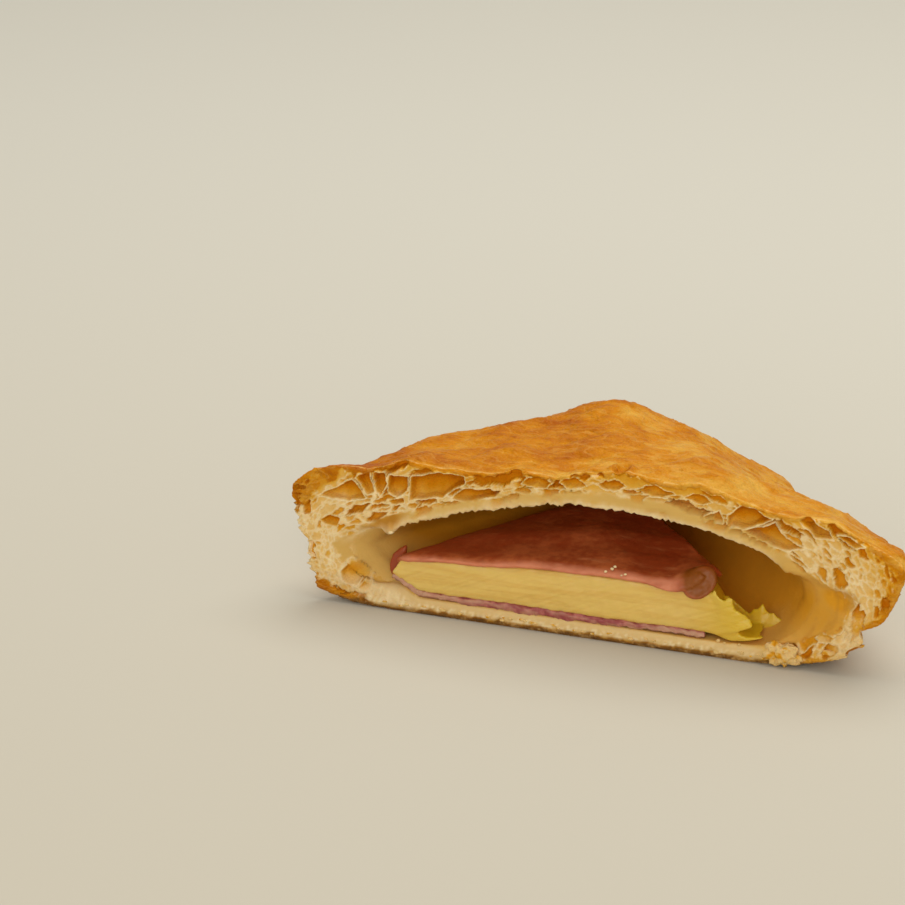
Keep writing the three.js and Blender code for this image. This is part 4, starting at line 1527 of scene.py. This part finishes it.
def end_rise(x: Array, y: Array) -> Array:
    """Returns how far the base lifts the filling at its left end, near the cut."""
    return 2.9 * smooth(-x, 36.0, 43.3) * (1 - smooth(y, 2.0, 8.5)) * (1 - smooth(-x, 47.0, 52.0))


def fold(t: Array, radius: float) -> tuple[Array, Array]:
    """Bends a sheet over an edge.

    Args:
        t: The distance past the edge, negative on the hanging side.
        radius: How soft the bend is.

    Returns:
        How far the sheet runs on past the edge, and how far it hangs below it.
    """
    root = np.sqrt(t * t + radius * radius)
    return (root + t) / 2, (root - t) / 2


@dataclass
class Filling:
    """The sizes that the ham and the cheese share, as in the part's source."""

    hollow: Hollow = field(default_factory=Hollow)
    gap: float = 0.3
    ham_left: float = -44.0
    ham_right: float = 23.0
    ham_corner: tuple[float, float] = (-4.0, 38.0)
    ham_thickness: float = 1.4
    lower_ham_thickness: float = 1.0
    cheese_left: float = -41.5
    cheese_right: float = 33.0
    cheese_corner: tuple[float, float] = (-3.0, 36.0)
    melt_start: float = 21.0
    melt_end: float = 31.0
    melt_drop: float = 6.4

    def plan(
        self, u: Array, v: Array, left: float, right: float, corner: tuple[float, float]
    ) -> tuple[Array, Array]:
        """Returns the places of a slice's plan, which narrows from the cut to its own corner."""
        share = v * (1 - 0.035)
        x = (left + (corner[0] - left) * share) * (1 - u) + (right + (corner[0] - right) * share) * u
        return x, self.gap + (corner[1] - self.gap) * v

    def cheese_top(self, x: Array, y: Array) -> Array:
        """Returns the height of the cheese's upper side where it hasn't melted away."""
        swell = 2.2 * np.exp(-((x + 8) ** 2 + (y - 20) ** 2) / (2 * 15.0**2))
        return 11.2 + 0.031 * (x - self.ham_left) + swell

    def melted_top(self, x: Array, y: Array) -> Array:
        """Returns the height of the cheese where its right end has run out."""
        melted = smooth(x + 0.35 * y, self.melt_start, self.melt_end)
        return self.cheese_top(x, y) - self.melt_drop * melted

    @staticmethod
    def thicken(sheet: Callable[[Array, Array], Array], thickness: float) -> Callable[..., Array]:
        """Gives a sheet its thickness, straight out from its lower side.

        Args:
            sheet: Places the lower side, given shares across and away from the cut.
            thickness: The thickness in millimetres.

        Returns:
            A function of the three shares, as slab() takes.
        """

        def place(u: Array, v: Array, w: Array) -> Array:
            e = 2e-3
            across, away = sheet(u + e, v) - sheet(u - e, v), sheet(u, v + e) - sheet(u, v - e)
            way = np.cross(across, away)
            way /= np.linalg.norm(way, axis=1)[:, None] + 1e-12
            return sheet(u, v) + way * (thickness * w)[:, None]

        return place


@dataclass
class Cheese(Filling):
    """The thick layer of melted cheese, torn and run out at its right end."""

    finish: CheeseFinish = CheeseFinish()
    grain: float = 0.3  # of the even mesh
    end_slant: float = 2.2
    run_out: float = 5.0
    front_tear: tuple[tuple[float, float], ...] = (
        (17.5, 12.9), (20.3, 13.3), (21.8, 13.2), (23.2, 14.0), (23.9, 12.9), (25.0, 12.2), (25.6, 12.9),
        (26.7, 12.9), (27.0, 11.2), (27.4, 10.4), (28.3, 10.2), (29.0, 9.9), (29.6, 9.2), (30.3, 8.9),
        (30.5, 8.3), (30.9, 7.4),
    )  # fmt: skip
    back_tear: tuple[tuple[float, float], ...] = (
        (23.0, 9.5), (26.5, 7.6), (28.2, 6.8), (29.0, 7.8), (30.0, 8.3), (30.7, 9.2), (31.2, 8.6),
        (31.5, 7.9), (32.4, 7.4), (33.2, 7.6), (34.0, 6.9), (35.0, 6.4), (36.5, 5.6),
    )  # fmt: skip

    def torn_sheet(
        self, tear: tuple[tuple[float, float], ...], y: float, thickness: float, foot: Callable[[Array], Array]
    ) -> bpy.types.Object:
        """Stands up a thin torn sheet of cheese.

        Args:
            tear: The torn upper edge, as places along the cut and heights.
            y: Its distance behind the cut.
            thickness: Its thickness at the foot.
            foot: Gives the height of its lower edge along the cut.

        Returns:
            The new object.
        """
        left, right = tear[0][0], tear[-1][0]

        def place(u: Array, v: Array, w: Array) -> Array:
            x = left + (right - left) * u
            flat = np.stack([x, 0 * x, 0 * x], -1)
            top = np.interp(x, [p[0] for p in tear], [p[1] for p in tear]) + 0.22 * Noise(223).layers(flat, 0.9, 2)
            low = foot(x)
            z = low + np.maximum(top - low, 0.3) * w
            wave = 0.5 * np.sin(0.55 * x + 0.35 * z) * w + 0.25 * Noise(227).layers(np.stack([x, z, 0 * x], -1), 2.5, 2)
            back = 1.7 * (1 - smooth(u, 0.05, 0.55))
            return np.stack([x, y + back + wave * u + thickness * (v - 0.5) * (1 - 0.65 * w), z], -1)

        return slab("torn_sheet", 90, 1, 10, place)

    def build(self) -> bpy.types.Object:
        """Builds the cheese with its bowed cut face and torn end."""

        def place(u: Array, v: Array, w: Array) -> Array:
            x, y = self.plan(u, v, self.cheese_left, self.cheese_right, self.cheese_corner)
            right = smooth(u, 0.7, 1.0)
            x = x + right * (self.run_out * bump(y, 7.5, 3.0) - 5.5 * smooth(y, 10, 15) * (1 - v))
            x = x + (0.6 - self.end_slant * (1 - w)) * (1 - smooth(u, 0.0, 0.1)) * (1 - v) ** 2
            over_ham = 1 - smooth(x, self.ham_right, self.ham_right + 3)
            low = self.hollow.floor_at(x, y) + self.gap + over_ham * (self.lower_ham_thickness + self.gap) * 0.7
            low = low + end_rise(x, y) + 0.9 * smooth(x, 27, 34)
            high = np.maximum(self.melted_top(x, y) - 2.6 * smooth(x, 20, 26), low + 0.9)
            high = low + (high - low) * (1 - 0.7 * smooth(u, 0.94, 1.0))
            return np.stack([x, y, low + (high - low) * w], -1)

        cheese = slab("cheese_melt", 76, 26, 7, place)
        front = self.torn_sheet(self.front_tear, 0.45, 1.0, lambda x: np.interp(x, (17.5, 24, 28, 31), (5.0, 4.7, 6.0, 7.4)))
        back = self.torn_sheet(self.back_tear, 7.6, 1.3, lambda x: 4.0 + 0 * x)
        deselect()
        for sheet in (front, back, cheese):
            sheet.select_set(True)
        bpy.context.view_layer.objects.active = cheese
        bpy.ops.object.join()
        finish_modifier(cheese, "SUBSURF", levels=1, render_levels=1)
        finish_modifier(cheese, "REMESH", mode="VOXEL", voxel_size=self.grain * MM, adaptivity=0.0)
        finish_modifier(cheese, "SMOOTH", factor=0.5, iterations=3)
        points, ways = places(cheese), normals(cheese)
        x, y, z = points.T
        face = smooth(-ways[:, 1], 0.4, 0.9)
        bow = 0.30 * (1 - np.clip((z - 8.4) / 4.2, -1, 1) ** 2) * (1 - smooth(x, 10, 16))
        slant = np.stack([x * 0.91 + z * 0.41, y, (z * 0.91 - x * 0.41) * 6], -1)
        drag = 0.10 * Noise(107).layers(slant, (14.0, 14.0, 3.0), 2)
        lumps = 0.16 * Noise(109).layers(points, 4.0, 3) * (1 - 0.6 * smooth(x, 18, 22))
        melted = smooth(x + 0.35 * y, self.melt_start - 5, self.melt_end - 3)
        moved = points + (ways.T * (lumps + face * (bow + drag))).T
        up = smooth(ways[:, 2], -0.1, 0.6)
        moved[:, 1] = np.maximum(moved[:, 1], -0.3)
        put(cheese, moved)
        attribute(cheese, "melted", np.clip(melted * (0.7 + 0.5 * up), 0, 1))
        take(cheese)
        bpy.ops.object.shade_smooth()
        return cheese

    def dress(self, cheese: bpy.types.Object, effects: Effects) -> None:
        """Gives the cheese its material and its place in the frame."""
        cheese.data.materials.append(self.finish.material(effects))
        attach(cheese, BODY)
        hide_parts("cheese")


@dataclass
class UpperHam(Filling):
    """The slice of ham on the cheese, its cut corner curled down over the cheese's face."""

    finish: HamFinish = HamFinish(
        "upper ham", (0.50, 0.125, 0.036), (0.36, 0.060, 0.014), (0.66, 0.27, 0.11), (0.70, 0.25, 0.13)
    )
    mesh_size: float = 0.28
    overhang: float = 3.6
    bend: float = 0.9
    cut_short: float = 2.4
    hang_left: float = 0.8
    hang_corner: float = 1.5
    corner_lift: float = 2.7
    curl_middle: tuple[float, float, float] = (20.0, 0.1, 15.0)
    curl_outline: tuple[tuple[float, float], ...] = (
        (-160, 3.6), (-133, 3.8), (-95, 3.3), (-44, 3.0), (5, 3.5), (36, 3.5), (66, 3.0), (124, 2.4), (172, 2.9),
    )  # fmt: skip

    def lower_side(self, u: Array, v: Array) -> Array:
        """Places the slice's lower side, draped over the cheese.

        Args:
            u: Shares of the way along the cut.
            v: Shares of the way back from the cut.

        Returns:
            The places in millimetres, as (n, 3).
        """
        x, y = self.plan(u, v, self.ham_left, self.ham_right, self.ham_corner)
        left = self.plan(np.zeros_like(v), v, self.ham_left, self.ham_right, self.ham_corner)[0]
        x = x + self.cut_short * (1 - smooth(u, 0.0, 0.3)) * (1 - smooth(v, 0.1, 0.4))
        left = left + self.cut_short * (1 - smooth(v, 0.1, 0.4))
        x = x + self.overhang * smooth(u, 0.7, 1.0) * smooth(v, 0.04, 0.18) * (1 - smooth(v, 0.18, 0.75))
        x = x - 1.6 * smooth(u, 0.85, 1.0) * (1 - smooth(v, 0.04, 0.16))
        y = y + 5.0 * smooth(x, 19.6, 23.4) ** 1.6 * (1 - v) ** 3
        lobe = smooth(x, 9, 18.5) * (1 - smooth(y, 6, 11))
        hang = self.hang_corner * lobe
        on, down = fold((y - self.gap) * (1 + hang / 14.0) - hang, self.bend)
        lift_end = 2.2 * smooth(x, 21.5, 25.0) * (1 - smooth(y, 4.0, 10.0))
        front = 1 - smooth(y, 10, 14)
        y = (self.gap - 0.42 + on) * front + y * (1 - front)
        y = y + 0.7 * smooth(x, 15.5, 18.5) * (1 - smooth(y, 1.5, 9.0))
        x = x - 0.85 * np.maximum(x - 22.4 - 0.25 * y, 0.0)
        end = self.hang_left * (1 - v)
        past, below = fold((x - left) * (1 + end / 25.0) - end, self.bend)
        near = 1 - smooth(u, 0.3, 0.5)
        x = x * (1 - near) + (left + past) * near
        top = np.maximum(self.melted_top(x, y), self.hollow.floor_at(x, y) + 3.2) - 0.4 * smooth(-x, 5, 30)
        lift = self.corner_lift * bump(x, 21.5, 3.2) * (1 - smooth(y, 3.0, 11.0))
        ripple = 0.22 * (1 + np.sin(0.35 * x + 0.2 * y)) + 0.35 * (1 + np.sin(0.5 * y - 0.1 * x)) * smooth(y, 3, 10)
        z = top + 0.12 + ripple * 0.6 + lift - lift_end - down * front - below * near * 0.9
        return np.stack([x, y, z], -1)

    def curl(self) -> bpy.types.Object:
        """Adds the slice's rounded corner, curled down at the right end of its cut edge."""
        ways = [way for way, _ in self.curl_outline]
        outline = [radius for _, radius in self.curl_outline]

        def skin(theta: Array, t: Array) -> Array:
            """Places the curl's points: a thick leaf with a rolled border, leaning back."""
            out = np.sin(np.pi * t) ** 0.7
            radius = np.interp(np.degrees(theta), ways, outline, period=360) * out
            u, w = radius * np.cos(theta), radius * np.sin(theta)
            flat = np.stack([u, w, 0 * u], -1)
            rolled = 0.6 * bump(out, 0.86, 0.13) * (0.6 - 0.4 * np.sin(theta + 0.7)) * (t < 0.5) + 0.2 * Noise(251).layers(flat, 2.4, 2)
            y = -1.0 * np.cos(np.pi * t) - rolled + 0.39 * (w + 3.4)
            return np.asarray(self.curl_middle) + np.stack([u, y, w], -1)

        return shaped_ball("curl", 32, 20, skin)

    @staticmethod
    def scrap() -> bpy.types.Object:
        """Adds the torn end of the slice that hangs at the cheese's left side, which build() colours dark as painted
        shade.
        """

        def place(u: Array, v: Array, w: Array) -> Array:
            ragged = 0.5 * Noise(241).layers(np.stack([6.0 * u, 5.0 * w, 0 * u], -1), 1.6, 3)
            x = -45.0 + 4.2 * u + 1.5 * (1 - u) * (1 - w) + 1.3 * (1 - u) * w**2 + ragged * (1 - u)
            z = 6.6 + 1.2 * u + (5.0 - 1.2 * (1 - u)) * w + 0.6 * ragged
            return np.stack([x, 2.2 + 1.2 * w + 0.5 * u + 0.9 * v, z], -1)

        return slab("scrap", 9, 1, 12, place)

    def build(self) -> bpy.types.Object:
        """Builds the slice with its waves, rough cut edge and curled corner."""
        ham = slab("ham_upper", 66, 30, 2, self.thicken(self.lower_side, self.ham_thickness))
        added = (self.scrap(), self.curl())
        take(ham)
        for piece in added:
            piece.select_set(True)
        bpy.ops.object.join()
        finish_modifier(ham, "SUBSURF", levels=1, render_levels=1)
        finish_modifier(ham, "REMESH", mode="VOXEL", voxel_size=self.mesh_size * MM, adaptivity=0.0)
        finish_modifier(ham, "SMOOTH", factor=0.5, iterations=6)
        points, ways = places(ham), normals(ham)
        x, y, z = points.T
        face = smooth(-ways[:, 1], 0.3, 0.8)
        moved = points + (ways.T * (0.16 * Noise(127).layers(points, (9.0, 6.0, 6.0), 4))).T
        moved += (ways.T * face * 0.14 * Noise(131).layers(points, 1.1, 2)).T
        moved[:, 1] = np.maximum(moved[:, 1], -1.5)
        put(ham, moved)
        front = 1 - smooth(y + 0.3 * Noise(197).layers(points, 2.0, 2) + 0.6 * smooth(-x, 5, 25), 0.1, 1.7)
        edge = front * (0.75 + 0.35 * Noise(137).layers(points, (4.0, 2.0, 1.4), 3)) * (1 - 0.9 * smooth(x, 14, 18))
        edge = edge * smooth(x, -41.5, -40)
        on_curl = smooth(x, 15.5, 17.5) * (1 - smooth(y, 2.5, 4.5))
        rim = smooth(np.hypot(x - 20, z - 15.2), 2.3, 3.3) * (1 - smooth(z, 14, 17)) * (1 - smooth(y, 0.3, 1.0))
        edge = np.maximum(edge, 0.3 * rim * on_curl)
        attribute(ham, "tan", on_curl * (1 - 0.6 * rim) * (1 - 0.7 * smooth(z, 16.5, 19.0)))
        attribute(ham, "edge", np.clip(edge, 0, 1))
        # Painted shade: the slice darkens towards its left and back, where it runs under the roof, and the hanging
        # scrap is dark all over.
        attribute(ham, "depth", np.maximum(0.75 * smooth(-x, 12, 36) * smooth(y, 0.6, 3.0), smooth(-x, 41.2, 42.0)))
        take(ham)
        bpy.ops.object.shade_smooth()
        return ham

    def dress(self, ham: bpy.types.Object, effects: Effects) -> None:
        """Gives the slice its material and its place in the frame."""
        ham.data.materials.append(self.finish.material(effects))
        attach(ham, BODY)
        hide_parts("upper_ham")


@dataclass
class LowerHam(Filling):
    """The slice of ham under the cheese, of which only the cut edge shows."""

    finish: HamFinish = HamFinish(
        "lower ham", (0.48, 0.15, 0.125), (0.33, 0.07, 0.07), (0.74, 0.42, 0.30), (0.56, 0.30, 0.185), grain=520.0, relief=0.9
    )

    def lower_side(self, u: Array, v: Array) -> Array:
        """Places the slice's lower side on the hollow's floor."""
        x, y = self.plan(u, v, self.ham_left + 0.8, self.ham_right - 1, self.ham_corner)
        y = y - 0.3 * (1 - smooth(v, 0.0, 0.1))
        return np.stack([x, y, self.hollow.floor_at(x, y) - 0.1 + end_rise(x, y)], -1)

    def build(self) -> bpy.types.Object:
        """Builds the thin slice with its rough cut edge."""
        ham = slab("ham_lower", 60, 16, 2, self.thicken(self.lower_side, self.lower_ham_thickness + 0.75))
        finish_modifier(ham, "SUBSURF", levels=2, render_levels=2)
        points, ways = places(ham), normals(ham)
        face = smooth(-ways[:, 1], 0.3, 0.8)
        uneven = 1.4 * bump(points[:, 0], -12, 13) - 0.9 + 0.9 * Noise(229).layers(points, (6.0, 6.0, 30.0), 3)
        moved = points + (ways.T * 0.10 * Noise(139).layers(points, 1.6, 2)).T
        moved[:, 2] -= 0.35 * uneven * (ways[:, 2] < -0.3) * (1 - smooth(points[:, 1], 1, 4))
        moved += (ways.T * face * 0.2 * Noise(149).layers(points, 0.9, 2)).T
        ragged = 0.35 * Noise(167).layers(points, (2.2, 2.2, 9.0), 3)
        moved[:, 2] += ragged * smooth(np.abs(ways[:, 2]), 0.2, 0.8) * (1 - smooth(points[:, 1], 1, 4))
        put(ham, moved)
        strong = np.maximum(0.8 * bump(points[:, 0], -22, 5), bump(points[:, 0], -6, 11))
        attribute(ham, "tan", np.zeros(len(points)))
        attribute(ham, "edge", np.clip(face * (0.95 - 0.9 * strong + 0.6 * Noise(151).layers(points, (3.0, 1.0, 1.0), 2)), 0, 1))
        take(ham)
        bpy.ops.object.shade_smooth()
        return ham

    def dress(self, ham: bpy.types.Object, effects: Effects) -> None:
        """Gives the slice its material and its place in the frame."""
        ham.data.materials.append(self.finish.material(effects))
        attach(ham, BODY)
        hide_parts("lower_ham")


@dataclass
class LooseBits:
    """The crumbs on the ham and along the base, the torn lump of base and the loose flap of crust."""

    finish: DoughFinish = DoughFinish()
    specks: tuple[tuple[float, float, float, float], ...] = (
        (1.7, -0.3, 14.9, 0.30),
        (2.8, 0.3, 15.4, 0.34),
        (3.3, 0.6, 15.8, 0.30),
        (5.6, -0.3, 14.9, 0.28),
        (4.9, -0.4, 14.6, 0.20),
        (-42.6, 0.3, 16.6, 0.55),
        (24.3, -0.1, 3.8, 0.40),
        (25.6, -0.1, 3.5, 0.30),
        (28.4, -0.1, 3.6, 0.34),
    )
    lump_middle: tuple[float, float, float] = (36.6, 0.5, 2.6)
    lump_size: tuple[float, float, float] = (3.5, 1.2, 2.1)
    base_crumbs: int = 46

    def lump(self, middle: tuple[float, ...], size: tuple[float, ...], fine: int, seed: int) -> bpy.types.Object:
        """Adds one crumbly lump.

        Args:
            middle: Where it is, in millimetres.
            size: Its half sizes along X, Y and Z.
            fine: How often its ball is divided.
            seed: Its own pattern.

        Returns:
            The new object.
        """
        deselect()
        bpy.ops.mesh.primitive_ico_sphere_add(subdivisions=fine, radius=1.0)
        ball = bpy.context.object
        unit = (places(ball) - (0.0, BASE_POINT_Y, 0.0)) * MM
        size_now = np.asarray(size)
        grain = max(size) * 0.55
        rough = Noise(seed).ridges(unit * size_now + seed, grain, 3) - 0.5
        put(ball, np.asarray(middle) + unit * size_now * (1 + 0.75 * rough)[:, None])
        return ball

    def flap(self) -> bpy.types.Object:
        """Adds the thin tongue of crust that stands out at the foot of the right end."""

        def place(u: Array, v: Array, w: Array) -> Array:
            x = 42.5 + 9.6 * u * (1 - 0.25 * (2 * v - 1) ** 2)
            y = 0.6 + 5.5 * v * (1 - 0.45 * u)
            z = 3.4 + 2.4 * u**1.4 + 0.35 * np.sin(7 * u + 3 * v)
            return np.stack([x, y, z + (1.5 - 1.1 * u) * (w - 0.5)], -1)

        flap = slab("flap", 18, 8, 2, place)
        finish_modifier(flap, "SUBSURF", levels=2, render_levels=2)
        points = places(flap)
        put(flap, points + (normals(flap).T * 0.18 * Noise(173).layers(points, 1.2, 3)).T)
        return flap

    def build(self) -> bpy.types.Object:
        """Builds all the bits and joins them."""
        random = np.random.default_rng(5)
        bits = [self.lump((x, y, z), (r, r * 0.8, r * 0.7), 2, k) for k, (x, y, z, r) in enumerate(self.specks)]
        for k in range(self.base_crumbs):
            r = random.uniform(0.14, 0.38)
            x = random.uniform(-44, 34)
            bits.append(self.lump((x, -0.05, random.uniform(1.2, 2.1)), (r * 1.5, r * 0.6, r * 0.7), 2, 40 + k))
        bits.append(self.lump(self.lump_middle, self.lump_size, 5, 91))
        bits.append(self.flap())
        deselect()
        for bit in bits:
            bit.select_set(True)
        bpy.context.view_layer.objects.active = bits[-1]
        bpy.ops.object.join()
        joined = bpy.context.object
        joined.name = "loose_bits"
        points = places(joined)
        x, y, z = points.T
        bits_tone = (0.22 + 0.5 * smooth(Noise(179).layers(points, 1.5, 3), 0.0, 0.7)) * (z < 13)
        attribute(joined, Mask.TONE.value, np.clip(bits_tone, 0, 1))
        on_flap = smooth(x, 44, 48)
        attribute(joined, Mask.CRUST.value, np.clip(on_flap * (0.6 + 0.6 * Noise(181).layers(points, 1.5, 2)), 0, 1))
        attribute(joined, Mask.BROWNING.value, 0.25 + 0.2 * on_flap)
        take(joined)
        bpy.ops.object.shade_smooth()
        return joined

    def dress(self, bits: bpy.types.Object, effects: Effects) -> None:
        """Gives the bits the dough's material and ties them to the pastry."""
        bits.data.materials.clear()
        bits.data.materials.append(bpy.data.materials["baked puff pastry"])
        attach(bits, BODY)


@dataclass(frozen=True)
class Studio:
    """A pale floor, darker towards the front as painted shade, under soft light from above, and the camera."""

    camera_place: tuple[float, float, float] = (161.5, -548.2, 251.4)
    camera_yaw: float = 19.898
    camera_pitch: float = 21.053
    lens: float = 124.14
    floor_colour: Colour = (0.62, 0.60, 0.53)
    # floor_front_shade is painted shade: the floor is darker towards the front, near the pastry.
    floor_front_shade: Colour = (0.56, 0.52, 0.43)
    floor_size: float = 6.0

    def build(self) -> None:
        """Adds the floor, the lights and the camera."""
        deselect()
        bpy.ops.mesh.primitive_plane_add(size=self.floor_size, location=(0.0, 0.0, 0.0))
        floor = bpy.context.object
        floor.name = "floor"
        s = Shader("pale floor")
        split = s.node("ShaderNodeSeparateXYZ")
        s.link(s.place, split.inputs[0])
        # Painted shade: the floor darkens towards the front.
        fade = s.steps(split.outputs[1], -0.25, 0.35)
        s.link(s.blend(fade, self.floor_front_shade, self.floor_colour), s.surface.inputs["Base Color"])
        s.link(0.9, s.surface.inputs["Roughness"])
        s.link(0.1, s.surface.inputs["Specular IOR Level"])
        floor.data.materials.append(s.material)
        floor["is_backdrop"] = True
        world = bpy.data.worlds.new("soft daylight")
        bpy.context.scene.world = world
        world.use_nodes = True
        world.node_tree.nodes["Background"].inputs["Color"].default_value = (1.0, 0.97, 0.9, 1.0)
        world.node_tree.nodes["Background"].inputs["Strength"].default_value = 0.50
        self.light("overhead", (80, 260, 950), (0, 0, 0), 900, 7.0, (1.0, 0.97, 0.91))
        self.light("front fill", (200, -1000, 450), (0, 0, 20), 700, 3.8, (1.0, 0.95, 0.87))
        camera = bpy.data.cameras.new("camera")
        camera.lens = self.lens
        camera.clip_start = 0.01
        holder = bpy.data.objects.new("camera", camera)
        bpy.context.scene.collection.objects.link(holder)
        holder.location = Vector(self.camera_place) * MM
        holder.rotation_euler = (math.radians(90 - self.camera_pitch), 0.0, math.radians(self.camera_yaw))
        bpy.context.scene.camera = holder
        bpy.context.scene.view_settings.view_transform = "Standard"

    def light(
        self,
        name: str,
        place: tuple[float, float, float],
        target: tuple[float, float, float],
        size: float,
        power: float,
        colour: Colour,
    ) -> None:
        """Adds one soft square light that faces a point.

        Args:
            name: The light's name.
            place: Where it is, in millimetres.
            target: What it faces.
            size: How wide it is.
            power: Its power in watts.
            colour: Its colour.
        """
        lamp = bpy.data.lights.new(name, "AREA")
        lamp.size = size * MM
        lamp.energy = power
        lamp.color = colour
        holder = bpy.data.objects.new(name, lamp)
        bpy.context.scene.collection.objects.link(holder)
        holder.location = Vector(place) * MM
        facing = (Vector(target) - Vector(place)).to_track_quat("-Z", "Y")
        holder.matrix_world = Matrix.Translation(Vector(place) * MM) @ facing.to_matrix().to_4x4()


def corners(box: tuple[Vector, Vector]) -> list[list[float]]:
    """Returns a box as plain lists of numbers."""
    return [list(corner) for corner in box]


def main() -> None:
    """Builds the pastry and its filling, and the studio."""
    logging.basicConfig(level=logging.INFO, format="%(message)s")
    cad_box = corners(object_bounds())
    effects = Effects.make()
    for maker in (Dough(), LowerHam(), Cheese(), UpperHam(), LooseBits()):
        piece = maker.build()
        maker.dress(piece, effects)
        LOG.info("%s has %d faces", piece.name, len(piece.data.polygons))
    Studio().build()
    {"cad": cad_box, "visual": corners(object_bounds())}


if __name__ == "__main__":
    main()
